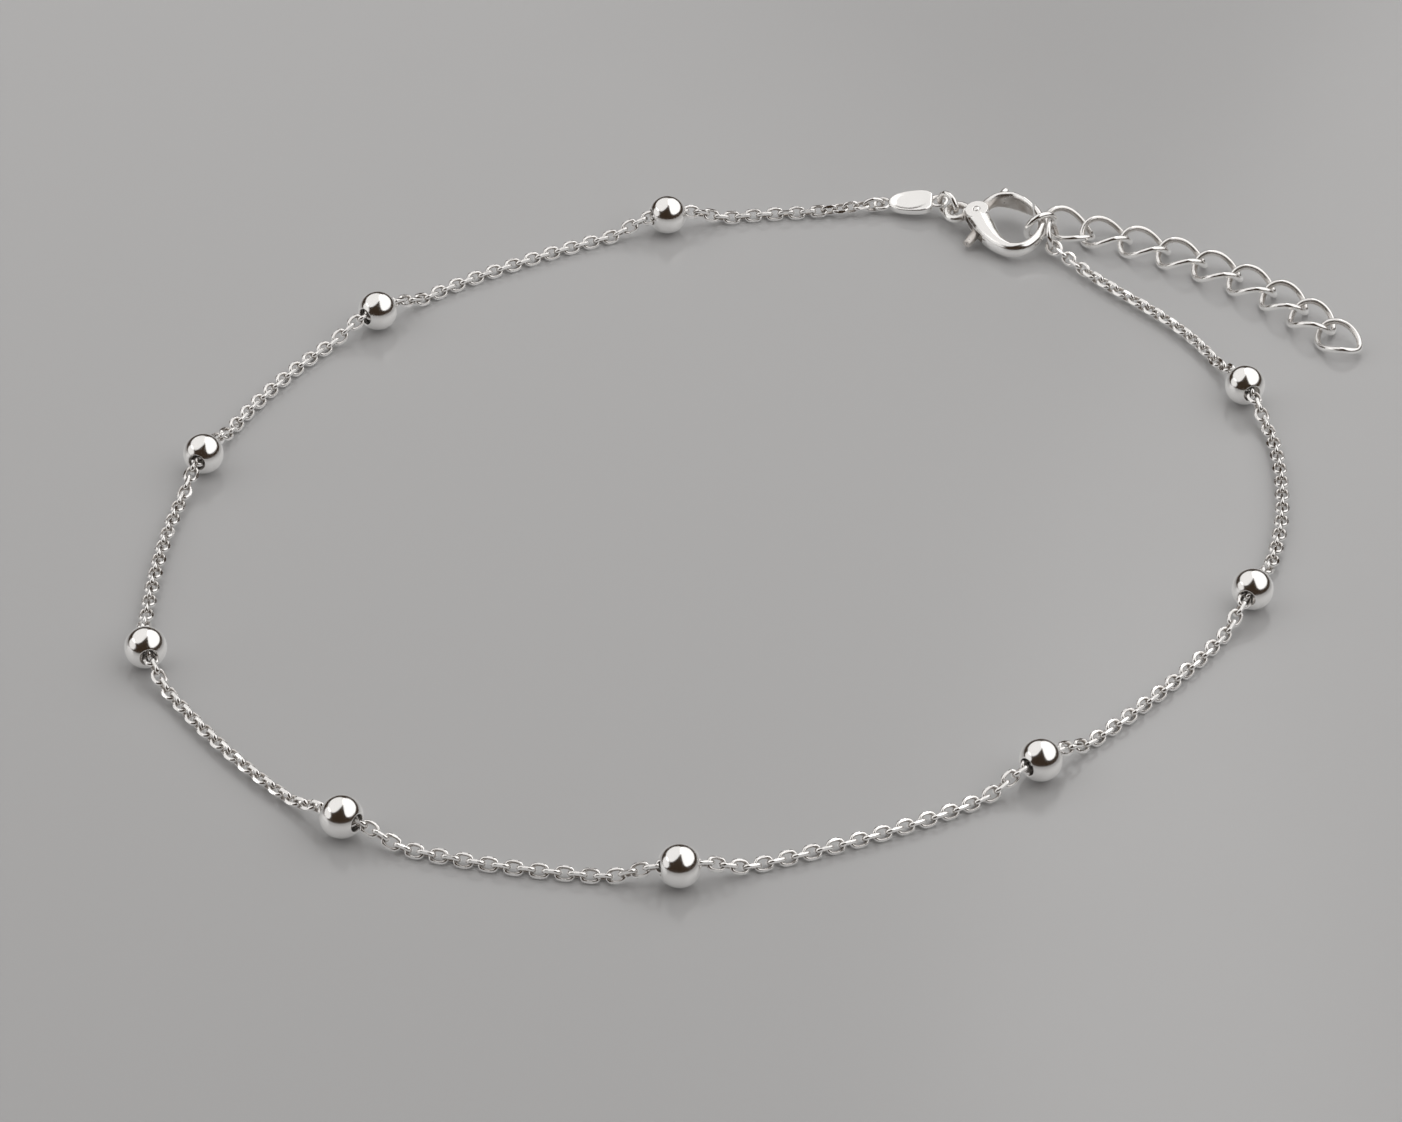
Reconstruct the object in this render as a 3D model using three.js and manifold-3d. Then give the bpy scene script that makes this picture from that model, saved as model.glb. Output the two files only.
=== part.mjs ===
// Silver bead-station anklet lying open on a table: a fine cable chain strung through nine beads,
// an end tag, a lobster claw with a sprung lever, and a free extender of twisted curb links.
// Millimetres, +Z up, resting on z = 0, with the origin under the middle of the whole outline.
import * as THREE from "three";
import { mergeVertices } from "three/addons/utils/BufferGeometryUtils.js";
import Module from "manifold-3d";

// Beads, drilled along the chain. Each row is one bead's place in plan, from the tag round to the extender.
const BEAD = { diameter: 2.7, boreDiameter: 1.2, sides: 16, arcSteps: 8 };
const BEAD_PLACES = [
  { x: -7.1, y: 36.5 },
  { x: -27.2, y: 23.5 },
  { x: -38.0, y: 5.4 },
  { x: -40.0, y: -17.0 },
  { x: -26.6, y: -34.8 },
  { x: -6.0, y: -39.7 },
  { x: 16.3, y: -29.0 },
  { x: 30.9, y: -10.5 },
  { x: 32.4, y: 13.9 },
];

// The chain's outer width, its height on the table, and how it climbs to a bead's bore.
const CHAIN = { diameter: 0.9, restHeight: 0.46, sides: 8, step: 2.9, boreHalf: 1.15, climbLength: 3.6 };
// Two bends of the chain between one bead and the next: run 0 comes from the tag, the last goes to the ring.
const CHAIN_BENDS = [
  [{ x: 5.2, y: 38.6 }, { x: -1.2, y: 37.9 }],
  [{ x: -13.0, y: 34.0 }, { x: -21.8, y: 28.5 }],
  [{ x: -30.9, y: 19.8 }, { x: -35.2, y: 12.6 }],
  [{ x: -39.4, y: -0.1 }, { x: -40.3, y: -9.1 }],
  [{ x: -36.9, y: -23.0 }, { x: -31.2, y: -30.6 }],
  [{ x: -21.0, y: -37.4 }, { x: -11.9, y: -39.4 }],
  [{ x: 0.4, y: -37.8 }, { x: 10.4, y: -33.2 }],
  [{ x: 21.2, y: -24.2 }, { x: 27.4, y: -16.5 }],
  [{ x: 33.4, y: -2.6 }, { x: 33.9, y: 7.9 }],
  [{ x: 29.1, y: 21.6 }, { x: 23.2, y: 29.1 }],
];
const CHAIN_START = { x: 7.2, y: 38.95, z: 0.6, linkTurn: 90 };
const CHAIN_END = { x: 20.73, y: 32.45, z: 0.754, linkTurn: 135 };
// The chain's last link at either end, larger than the others so that a ring passes through it.
const END_LINK = { length: 1.7, width: 1.24, wire: 0.3, steps: 14, sides: 6, overlap: 0.3 };

// Leaf-shaped end tag, its wide end raised towards the clasp.
const TAG = { length: 3.2, width: 2.4, thickness: 0.5, bevel: 0.12, eyeRadius: 0.56, eyeWire: 0.3, eyeShow: 0.8 };
const TAG_PLACE = { x: 10.4, y: 39.05, z: 0.82, yaw: -5, rise: 6 };

// Round jump rings: centreline radius, wire, place of the centre, heading of the plane and its lean.
const RING_STEPS = 16;
const WIRE_SIDES = 6;
const TABLE_GAP = 0.02;
const TAG_RING = { radius: 0.91, wire: 0.42, lean: 0 };
const JOINING_RING = { radius: 1.115, wire: 0.46, x: 19.525, y: 34.885, heading: 26.7, lean: 15 };
const CHAIN_RING = { radius: 1.0, wire: 0.36, x: 20.372, y: 33.848, heading: 77.5, lean: -18.4 };

// Lobster claw, in its own plane: u runs from the eye to the bight, v across from the hook to the gate.
const CLASP_PLACE = { x: 17.854, y: 34.874, z: 1.388, heading: -29, pitch: -3.9, tilt: 14 };
const CLASP_EYE = { u: -4.85, v: 0.1, radius: 0.74, wire: 0.56 };
// Centreline of the fixed hook, eye to tip: place, half width in the plane and half height across it.
const HOOK_ROWS = [
  { u: -4.3, v: 0.15, halfWidth: 0.45, halfHeight: 0.46 },
  { u: -3.6, v: 0.15, halfWidth: 0.84, halfHeight: 0.68 },
  { u: -2.9, v: -0.3, halfWidth: 0.94, halfHeight: 0.76 },
  { u: -2.1, v: -1.05, halfWidth: 0.86, halfHeight: 0.78 },
  { u: -1.2, v: -1.75, halfWidth: 0.7, halfHeight: 0.74 },
  { u: -0.3, v: -2.25, halfWidth: 0.55, halfHeight: 0.68 },
  { u: 0.7, v: -2.42, halfWidth: 0.46, halfHeight: 0.6 },
  { u: 1.5, v: -1.97, halfWidth: 0.4, halfHeight: 0.52 },
  { u: 1.93, v: -1.0, halfWidth: 0.36, halfHeight: 0.47 },
  { u: 1.9, v: 0.0, halfWidth: 0.33, halfHeight: 0.45 },
  { u: 1.55, v: 0.85, halfWidth: 0.33, halfHeight: 0.45 },
  { u: 1.05, v: 1.45, halfWidth: 0.32, halfHeight: 0.45 },
  { u: 0.4, v: 2.0, halfWidth: 0.3, halfHeight: 0.44 },
];
// The lever: a deep gate from the pivot to the hook's tip, hung a little lower by its drop, a grip nub on it
// and a thumb tab out of the slot.
const GATE_ROWS = [
  { u: -3.2, v: 0.25, halfWidth: 0.5, halfHeight: 0.3 },
  { u: -3.05, v: 1.4, halfWidth: 0.46, halfHeight: 0.34 },
  { u: -2.6, v: 2.2, halfWidth: 0.4, halfHeight: 0.6, drop: 0.1 },
  { u: -1.65, v: 2.62, halfWidth: 0.36, halfHeight: 0.84, drop: 0.3 },
  { u: -0.55, v: 2.42, halfWidth: 0.34, halfHeight: 0.8, drop: 0.28 },
  { u: 0.7, v: 1.75, halfWidth: 0.3, halfHeight: 0.5, drop: 0.06 },
];
const GRIP_NUB = { u: -2.4, v: 2.4, reach: 0.85, radius: 0.24 };
const THUMB_TAB_ROWS = [
  { u: -2.95, v: -0.2, halfWidth: 0.36, halfHeight: 0.29 },
  { u: -2.55, v: -1.5, halfWidth: 0.36, halfHeight: 0.31 },
  { u: -2.6, v: -2.3, halfWidth: 0.36, halfHeight: 0.31 },
  { u: -2.7, v: -2.85, halfWidth: 0.3, halfHeight: 0.27 },
];
const PIVOT = { u: -3.2, v: 0.15, pinRadius: 0.24, boreClearance: 0.07, hubRadius: 0.5, hubHalf: 0.3 };
const CHEEK = { radius: 0.84, halfHeight: 0.72, pinProud: 0.06 };
const SLOT = { back: -3.85, front: -1.75, near: -3.0, far: 2.2, halfHeight: 0.4 };
// The gate's tip and the hook's tip meet on a round face about the pivot, so that the gate only swings inwards.
const GATE_REACH = { radius: 4.0, gap: 0.12, sides: 96 };
const HOOK_TIP_BOX = { back: -0.6, front: 1.2, near: 1.15, far: 3.0 };

// Extender of twisted oval links, laid along a gentle arc through the points of its middle line.
const EXTENDER = { links: 9, halfLength: 1.79, halfWidth: 1.5, wire: 0.43, twistDeg: 42, steps: 18 };
const EXTENDER_ARC = [{ x: 21.55, y: 36.1 }, { x: 29.0, y: 31.95 }, { x: 35.8, y: 26.2 }, { x: 39.45, y: 20.8 }];
// The first link climbs onto the joining ring; its place and turns stand in for the arc's.
const FIRST_LINK = {
  x: 21.608,
  y: 35.293,
  z: 1.047,
  heading: -23.6,
  pitch: 14.9,
  roll: 17.4,
  innerTwistDeg: 17.8,
};
// The last link is free: its outer end is narrower, less twisted and dips to the table.
const LAST_LINK = { halfLength: 1.75, halfWidth: 1.32, outerTwistDeg: 16, dipDeg: 2 };

const SILVER = { color: 0xe9e7e3, roughness: 0.12, metalness: 1 };
const FULL_TURN = Math.PI * 2;
const rad = THREE.MathUtils.degToRad;

const wasm = await Module();
wasm.setup();

/** Merge a geometry's shared corners and hand it over as a solid that can be joined and cut. */
function solidOf(geometry) {
  const bare = geometry.clone();
  bare.deleteAttribute("normal");
  bare.deleteAttribute("uv");
  const merged = mergeVertices(bare, 1e-4);
  return new wasm.Manifold(
    new wasm.Mesh({
      numProp: 3,
      vertProperties: new Float32Array(merged.attributes.position.array),
      triVerts: new Uint32Array(merged.index.array),
    }),
  );
}

/** Turn a joined or cut solid back into a geometry. */
function geometryOf(solid) {
  const mesh = solid.getMesh();
  const geometry = new THREE.BufferGeometry();
  geometry.setAttribute("position", new THREE.BufferAttribute(new Float32Array(mesh.vertProperties), 3));
  geometry.setIndex(new THREE.BufferAttribute(new Uint32Array(mesh.triVerts), 1));
  return geometry;
}

/** Skin a row of equal rings of points; an open row is closed with flat ends. */
function loft(rings, closed) {
  const sides = rings[0].length;
  const points = rings.flat();
  const faces = [];
  const spans = closed ? rings.length : rings.length - 1;
  for (let i = 0; i < spans; i += 1) {
    const here = i * sides;
    const next = ((i + 1) % rings.length) * sides;
    for (let j = 0; j < sides; j += 1) {
      const k = (j + 1) % sides;
      faces.push(here + j, here + k, next + j, here + k, next + k, next + j);
    }
  }
  if (!closed) {
    const last = (rings.length - 1) * sides;
    for (let j = 1; j < sides - 1; j += 1) {
      faces.push(0, j + 1, j, last, last + j, last + j + 1);
    }
  }
  const geometry = new THREE.BufferGeometry().setFromPoints(points);
  geometry.setIndex(faces);
  return geometry;
}

/** A round wire bent along a closed line of points. */
function wireLoop(line, wire, sides) {
  const middle = line.reduce((sum, p) => sum.add(p), new THREE.Vector3()).divideScalar(line.length);
  const rings = line.map((point, i) => {
    const before = line[(i + line.length - 1) % line.length];
    const after = line[(i + 1) % line.length];
    const along = after.clone().sub(before).normalize();
    const out = point.clone().sub(middle).projectOnPlane(along).normalize();
    const side = along.clone().cross(out);
    return Array.from({ length: sides }, (_, j) => {
      const angle = (FULL_TURN * j) / sides;
      return point
        .clone()
        .addScaledVector(out, (wire / 2) * Math.cos(angle))
        .addScaledVector(side, (wire / 2) * Math.sin(angle));
    });
  });
  return loft(rings, true);
}

/** Points of a closed line given by a function of the angle round it. */
function around(steps, pointAt) {
  return Array.from({ length: steps }, (_, i) => pointAt((FULL_TURN * i) / steps));
}

/** A flat oval or round wire ring in the XY plane. */
function ovalRing(halfLength, halfWidth, wire, steps, sides) {
  const line = around(steps, (t) => new THREE.Vector3(halfLength * Math.cos(t), halfWidth * Math.sin(t), 0));
  return wireLoop(line, wire, sides);
}

/** A cast limb lying in the XY plane, its rounded section given row by row along its centreline. */
function limb(rows, spans, sides) {
  const line = new THREE.CatmullRomCurve3(
    rows.map((row) => new THREE.Vector3(row.u, row.v, -(row.drop ?? 0))),
  );
  const up = new THREE.Vector3(0, 0, 1);
  const rings = Array.from({ length: spans + 1 }, (_, i) => {
    const t = i / spans;
    const place = t * (rows.length - 1);
    const row = Math.min(Math.floor(place), rows.length - 2);
    const share = place - row;
    const halfWidth = THREE.MathUtils.lerp(rows[row].halfWidth, rows[row + 1].halfWidth, share);
    const halfHeight = THREE.MathUtils.lerp(rows[row].halfHeight, rows[row + 1].halfHeight, share);
    const across = up.clone().cross(line.getTangent(t)).normalize();
    return Array.from({ length: sides }, (_, j) => {
      const angle = (FULL_TURN * (j + 0.5)) / sides;
      return line
        .getPoint(t)
        .addScaledVector(across, halfWidth * Math.cos(angle))
        .addScaledVector(up, halfHeight * Math.sin(angle));
    });
  });
  return loft(rings, false);
}

/** A round bar standing along Z in a claw's plane at (u, v). */
function upright(u, v, radius, halfHeight, sides) {
  const bar = new THREE.CylinderGeometry(radius, radius, halfHeight * 2, sides);
  bar.rotateX(Math.PI / 2);
  bar.translate(u, v, 0);
  return bar;
}

/** The chain's whole middle line: a smooth plan curve lifted to each bead's bore. */
class ChainRoute {
  constructor() {
    const stops = [CHAIN_START];
    this.beadIndex = [];
    CHAIN_BENDS.forEach((bends, run) => {
      stops.push(...bends);
      if (run < BEAD_PLACES.length) {
        this.beadIndex.push(stops.length);
        stops.push(BEAD_PLACES[run]);
      }
    });
    stops.push(CHAIN_END);
    this.curve = new THREE.CatmullRomCurve3(stops.map((stop) => new THREE.Vector3(stop.x, stop.y, 0)));
    const perSpan = 60;
    this.curve.arcLengthDivisions = perSpan * (stops.length - 1);
    const lengths = this.curve.getLengths();
    this.length = lengths[lengths.length - 1];
    this.beadStations = this.beadIndex.map((index) => lengths[index * perSpan]);
  }

  /** Height of the chain's middle at a station along it. */
  heightAt(station) {
    const nearest = Math.min(...this.beadStations.map((bead) => Math.abs(bead - station)));
    const climb = 1 - THREE.MathUtils.smoothstep(nearest, CHAIN.boreHalf, CHAIN.boreHalf + CHAIN.climbLength);
    const floor = CHAIN.restHeight;
    const start = (CHAIN_START.z - floor) * Math.max(0, 1 - station / CHAIN.climbLength);
    const end = (CHAIN_END.z - floor) * Math.max(0, 1 - (this.length - station) / CHAIN.climbLength);
    return floor + (BEAD.diameter / 2 - floor) * climb + start + end;
  }

  pointAt(station) {
    return this.curve.getPointAt(station / this.length).setZ(this.heightAt(station));
  }

  tangentAt(station) {
    return this.curve.getTangentAt(THREE.MathUtils.clamp(station / this.length, 0, 1));
  }

  /** Points for the tube, always with one at each mouth of a bead's bore. */
  knots() {
    const fixed = [0];
    this.beadStations.forEach((bead) => fixed.push(bead - CHAIN.boreHalf, bead + CHAIN.boreHalf));
    fixed.push(this.length);
    const stations = [0];
    for (let i = 1; i < fixed.length; i += 1) {
      const spans = Math.max(1, Math.round((fixed[i] - fixed[i - 1]) / CHAIN.step));
      for (let j = 1; j <= spans; j += 1) {
        stations.push(THREE.MathUtils.lerp(fixed[i - 1], fixed[i], j / spans));
      }
    }
    return stations.map((station) => this.pointAt(station));
  }
}

/** A curve that visits the given points at even parameters, so that an extrusion steps from one to the next. */
class KnotCurve extends THREE.Curve {
  constructor(knots) {
    super();
    this.knots = knots;
  }

  getPoint(t) {
    const place = THREE.MathUtils.clamp(t, 0, 1) * (this.knots.length - 1);
    const index = Math.min(Math.floor(place), this.knots.length - 2);
    return this.knots[index].clone().lerp(this.knots[index + 1], place - index);
  }

  getPointAt(u) {
    return this.getPoint(u);
  }

  getTangentAt(u) {
    return this.getTangent(u);
  }
}

/** A polished ball bored through along local Z, with one corner of its section straight down when laid. */
function beadGeometry() {
  const radius = BEAD.diameter / 2;
  const bore = BEAD.boreDiameter / 2;
  const mouth = Math.asin(bore / radius);
  const profile = Array.from({ length: BEAD.arcSteps + 1 }, (_, i) => {
    const angle = THREE.MathUtils.lerp(mouth, Math.PI - mouth, i / BEAD.arcSteps);
    return new THREE.Vector2(radius * Math.sin(angle), -radius * Math.cos(angle));
  });
  profile.push(profile[0].clone());
  const ball = new THREE.LatheGeometry(profile, BEAD.sides);
  ball.rotateX(Math.PI / 2);
  return ball;
}

/** The chain as one tube with a real oval link joined to each end. */
function chainGeometry(route) {
  const knots = route.knots();
  const section = new THREE.Shape(
    around(CHAIN.sides, (t) => new THREE.Vector2(Math.cos(t), Math.sin(t)).multiplyScalar(CHAIN.diameter / 2)),
  );
  const tube = new THREE.ExtrudeGeometry(section, {
    steps: knots.length - 1,
    extrudePath: new KnotCurve(knots),
  });
  const endLink = (end, outward, turn) => {
    const link = ovalRing(
      (END_LINK.length - END_LINK.wire) / 2,
      (END_LINK.width - END_LINK.wire) / 2,
      END_LINK.wire,
      END_LINK.steps,
      END_LINK.sides,
    );
    link.rotateX(rad(turn));
    link.rotateZ(Math.atan2(outward.y, outward.x));
    const middle = end.clone().addScaledVector(outward, END_LINK.length / 2 - END_LINK.overlap);
    link.translate(middle.x, middle.y, middle.z);
    return solidOf(link);
  };
  const startOut = route.tangentAt(0).negate();
  const endOut = route.tangentAt(route.length);
  return geometryOf(
    solidOf(tube)
      .add(endLink(knots[0], startOut, CHAIN_START.linkTurn))
      .add(endLink(knots[knots.length - 1], endOut, CHAIN_END.linkTurn)),
  );
}

/** The bare leaf tag with an eye at its narrow and its wide end. */
function tagGeometry() {
  const half = TAG.length / 2;
  const halfWidth = TAG.width / 2;
  const leaf = new THREE.Shape();
  leaf.moveTo(-half, 0);
  leaf.bezierCurveTo(-half, -halfWidth * 0.75, -half * 0.2, -halfWidth, half * 0.45, -halfWidth);
  leaf.quadraticCurveTo(half * 0.9, -halfWidth * 0.95, half, -halfWidth * 0.55);
  leaf.lineTo(half, halfWidth * 0.55);
  leaf.quadraticCurveTo(half * 0.9, halfWidth * 0.95, half * 0.45, halfWidth);
  leaf.bezierCurveTo(-half * 0.2, halfWidth, -half, halfWidth * 0.75, -half, 0);
  const plate = new THREE.ExtrudeGeometry(leaf, {
    depth: TAG.thickness - 2 * TAG.bevel,
    bevelEnabled: true,
    bevelThickness: TAG.bevel,
    bevelSize: TAG.bevel,
    bevelOffset: -TAG.bevel,
    bevelSegments: 1,
    curveSegments: 5,
  });
  plate.translate(0, 0, TAG.bevel - TAG.thickness / 2);
  const eye = (side) => {
    const ring = ovalRing(TAG.eyeRadius, TAG.eyeRadius, TAG.eyeWire, 12, WIRE_SIDES);
    ring.translate(side * (half + TAG.eyeRadius * TAG.eyeShow), 0, 0);
    return solidOf(ring);
  };
  return geometryOf(solidOf(plate).add(eye(-1)).add(eye(1)));
}

/** A block between two corners of the claw's plane. */
function block(corners, halfHeight) {
  const bar = new THREE.BoxGeometry(corners.front - corners.back, corners.far - corners.near, halfHeight * 2);
  bar.translate((corners.front + corners.back) / 2, (corners.far + corners.near) / 2, 0);
  return bar;
}

/** The cast hook with its eye and cheeks, slotted for the lever, bored for the pin and trimmed at its tip. */
function claspBodyGeometry() {
  const eye = ovalRing(CLASP_EYE.radius, CLASP_EYE.radius, CLASP_EYE.wire, 14, 8);
  eye.translate(CLASP_EYE.u, CLASP_EYE.v, 0);
  const bore = upright(PIVOT.u, PIVOT.v, PIVOT.pinRadius + PIVOT.boreClearance, CHEEK.halfHeight * 2, 12);
  const sweep = upright(PIVOT.u, PIVOT.v, GATE_REACH.radius + GATE_REACH.gap, 2, GATE_REACH.sides);
  return geometryOf(
    solidOf(limb(HOOK_ROWS, 36, 12))
      .add(solidOf(eye))
      .add(solidOf(upright(PIVOT.u, PIVOT.v, CHEEK.radius, CHEEK.halfHeight, 18)))
      .subtract(solidOf(block(SLOT, SLOT.halfHeight)))
      .subtract(solidOf(bore))
      .subtract(solidOf(block(HOOK_TIP_BOX, 1)).intersect(solidOf(sweep))),
  );
}

/** The gate with its grip nub, hub and thumb tab, bored for the pin. */
function claspLeverGeometry() {
  const nub = new THREE.CylinderGeometry(GRIP_NUB.radius * 0.75, GRIP_NUB.radius, GRIP_NUB.reach, 8);
  nub.translate(GRIP_NUB.u, GRIP_NUB.v + GRIP_NUB.reach / 2, 0);
  const bore = upright(PIVOT.u, PIVOT.v, PIVOT.pinRadius + PIVOT.boreClearance, 2, 12);
  const sweep = upright(PIVOT.u, PIVOT.v, GATE_REACH.radius, 2, GATE_REACH.sides);
  return geometryOf(
    solidOf(limb(GATE_ROWS, 15, 12))
      .add(solidOf(nub))
      .add(solidOf(limb(THUMB_TAB_ROWS, 6, 8)))
      .add(solidOf(upright(PIVOT.u, PIVOT.v, PIVOT.hubRadius, PIVOT.hubHalf, 16)))
      .subtract(solidOf(bore))
      .intersect(solidOf(sweep)),
  );
}

/** The rivet through the cheeks, standing a little proud of them. */
function claspPinGeometry() {
  return upright(PIVOT.u, PIVOT.v, PIVOT.pinRadius, CHEEK.halfHeight + CHEEK.pinProud, 12);
}

/** One twisted oval link of the extender, lying flat, its two ends turned opposite ways. */
function extenderLinkGeometry({ halfLength, halfWidth, innerTwistDeg, outerTwistDeg }) {
  const line = around(EXTENDER.steps, (t) => {
    const reach = halfWidth * Math.sin(t);
    const turn = rad(THREE.MathUtils.lerp(innerTwistDeg, -outerTwistDeg, (1 + Math.cos(t)) / 2));
    return new THREE.Vector3(halfLength * Math.cos(t), reach * Math.cos(turn), reach * Math.sin(turn));
  });
  return wireLoop(line, EXTENDER.wire, WIRE_SIDES);
}

function addPiece(parent, name, geometry) {
  const piece = new THREE.Mesh(geometry, new THREE.MeshStandardMaterial({ name, ...SILVER }));
  piece.name = name;
  parent.add(piece);
  return piece;
}

function addBeads(parent, route) {
  route.beadStations.forEach((station, i) => {
    const bead = addPiece(parent, `bead_${i + 1}`, beadGeometry());
    const along = route.tangentAt(station);
    bead.rotation.order = "ZYX";
    bead.rotation.set(0, Math.PI / 2, Math.atan2(along.y, along.x));
    bead.position.copy(route.pointAt(station));
  });
}

/** A round ring standing on the table, its plane turned to a heading and leaned over by an angle. */
function addRing(parent, name, ring) {
  const piece = addPiece(parent, name, ovalRing(ring.radius, ring.radius, ring.wire, RING_STEPS, WIRE_SIDES));
  piece.rotation.order = "ZYX";
  piece.rotation.set(rad(90 + ring.lean), 0, rad(ring.heading));
  const height = ring.radius * Math.cos(rad(ring.lean)) + ring.wire / 2 + TABLE_GAP;
  piece.position.set(ring.x, ring.y, height);
}

function addTag(parent) {
  const tag = addPiece(parent, "end_tag", tagGeometry());
  tag.rotation.order = "ZYX";
  tag.rotation.set(0, rad(-TAG_PLACE.rise), rad(TAG_PLACE.yaw));
  tag.position.set(TAG_PLACE.x, TAG_PLACE.y, TAG_PLACE.z);
  tag.updateMatrixWorld(true);
  return tag.localToWorld(new THREE.Vector3(TAG.length / 2 + TAG.eyeRadius * TAG.eyeShow, 0, 0));
}

function addClasp(parent) {
  const clasp = new THREE.Group();
  clasp.rotation.order = "ZYX";
  clasp.rotation.set(rad(CLASP_PLACE.tilt), rad(CLASP_PLACE.pitch), rad(CLASP_PLACE.heading));
  clasp.position.set(CLASP_PLACE.x, CLASP_PLACE.y, CLASP_PLACE.z);
  parent.add(clasp);
  addPiece(clasp, "clasp_body", claspBodyGeometry());
  addPiece(clasp, "clasp_lever", claspLeverGeometry());
  addPiece(clasp, "clasp_pin", claspPinGeometry());
  clasp.updateMatrixWorld(true);
  return clasp.localToWorld(new THREE.Vector3(CLASP_EYE.u, CLASP_EYE.v, 0));
}

/** The ring that ties the tag's eye to the clasp's eye, midway between them. */
function addTagRing(parent, tagEye, claspEye) {
  const heading = THREE.MathUtils.radToDeg(Math.atan2(claspEye.y - tagEye.y, claspEye.x - tagEye.x));
  const middle = tagEye.clone().add(claspEye).multiplyScalar(0.5);
  addRing(parent, "tag_ring", { ...TAG_RING, x: middle.x, y: middle.y, heading });
}

function addExtender(parent) {
  const arc = new THREE.CatmullRomCurve3(EXTENDER_ARC.map((p) => new THREE.Vector3(p.x, p.y, 0)));
  const plain = { ...EXTENDER, innerTwistDeg: EXTENDER.twistDeg, outerTwistDeg: EXTENDER.twistDeg };
  for (let i = 0; i < EXTENDER.links; i += 1) {
    const name = `extender_link_${i + 1}`;
    if (i === 0) {
      const link = addPiece(parent, name, extenderLinkGeometry({ ...plain, ...FIRST_LINK }));
      link.rotation.order = "ZYX";
      link.rotation.set(rad(FIRST_LINK.roll), rad(FIRST_LINK.pitch), rad(FIRST_LINK.heading));
      link.position.set(FIRST_LINK.x, FIRST_LINK.y, FIRST_LINK.z);
      continue;
    }
    const share = i / (EXTENDER.links - 1);
    const last = i === EXTENDER.links - 1;
    const along = arc.getTangentAt(share);
    const geometry = extenderLinkGeometry(last ? { ...plain, ...LAST_LINK } : plain);
    geometry.rotateY(last ? rad(LAST_LINK.dipDeg) : 0);
    geometry.computeBoundingBox();
    const link = addPiece(parent, name, geometry);
    link.rotation.z = Math.atan2(along.y, along.x);
    link.position.copy(arc.getPointAt(share)).setZ(-geometry.boundingBox.min.z);
  }
}

/** Bring the middle of the whole outline over the origin and its lowest point down to the table. */
function settle(group) {
  const box = new THREE.Box3().setFromObject(group, true);
  const middle = box.getCenter(new THREE.Vector3());
  group.position.set(-middle.x, -middle.y, -box.min.z);
}

const anklet = new THREE.Group();
const route = new ChainRoute();
addPiece(anklet, "cable_chain", chainGeometry(route));
addBeads(anklet, route);
const tagEye = addTag(anklet);
const claspEye = addClasp(anklet);
addTagRing(anklet, tagEye, claspEye);
addRing(anklet, "joining_ring", JOINING_RING);
addRing(anklet, "chain_ring", CHAIN_RING);
addExtender(anklet);
settle(anklet);

export default anklet;
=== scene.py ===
"""Dresses the silver bead-station anklet: chain, beads, tag, claw clasp, rings and extender, on a pale table.

Sizes are in millimetres, as drawn before the whole part is moved by SETTLED. Meshes are stored in metres.
"""

import logging
import math
from dataclasses import dataclass, replace
from enum import Enum
from typing import Callable, Optional

import bpy
import numpy as np
from mathutils import Euler, Matrix, Vector

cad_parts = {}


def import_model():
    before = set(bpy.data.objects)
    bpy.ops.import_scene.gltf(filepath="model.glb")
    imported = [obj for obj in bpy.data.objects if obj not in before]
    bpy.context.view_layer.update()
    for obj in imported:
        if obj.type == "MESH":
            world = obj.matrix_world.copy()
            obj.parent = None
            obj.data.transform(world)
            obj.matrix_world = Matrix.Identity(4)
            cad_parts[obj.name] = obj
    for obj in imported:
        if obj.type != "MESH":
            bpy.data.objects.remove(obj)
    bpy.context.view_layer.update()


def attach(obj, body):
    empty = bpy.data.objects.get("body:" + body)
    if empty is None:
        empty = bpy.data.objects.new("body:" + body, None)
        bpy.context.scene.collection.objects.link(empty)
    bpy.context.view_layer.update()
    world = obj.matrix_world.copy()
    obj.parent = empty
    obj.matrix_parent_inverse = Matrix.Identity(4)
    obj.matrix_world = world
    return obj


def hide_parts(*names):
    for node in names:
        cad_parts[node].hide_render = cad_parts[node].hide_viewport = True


LOG = logging.getLogger("anklet")
MM = 0.001
SETTLED = (0.1231180, 0.4194877, 0.0064851)
TABLE_GAP = 0.02
SEAM_ANGLE = 2.2
SEAM_REACH = 0.07
UP = np.array([0.0, 0.0, 1.0])


class Body(Enum):
    """The bodies that a piece can ride on."""

    ANKLET = "anklet"
    LEVER = "lever"


class Slot(Enum):
    """The record's material slots."""

    BEAD = "bead_silver"
    CHAIN = "chain_silver"
    EXTENDER = "extender_silver"
    RING = "ring_silver"
    CLASP = "clasp_silver"
    TAG = "tag_silver"


class Cut(Enum):
    """How one solid changes another."""

    ADD = "UNION"
    REMOVE = "DIFFERENCE"
    KEEP = "INTERSECT"


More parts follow.
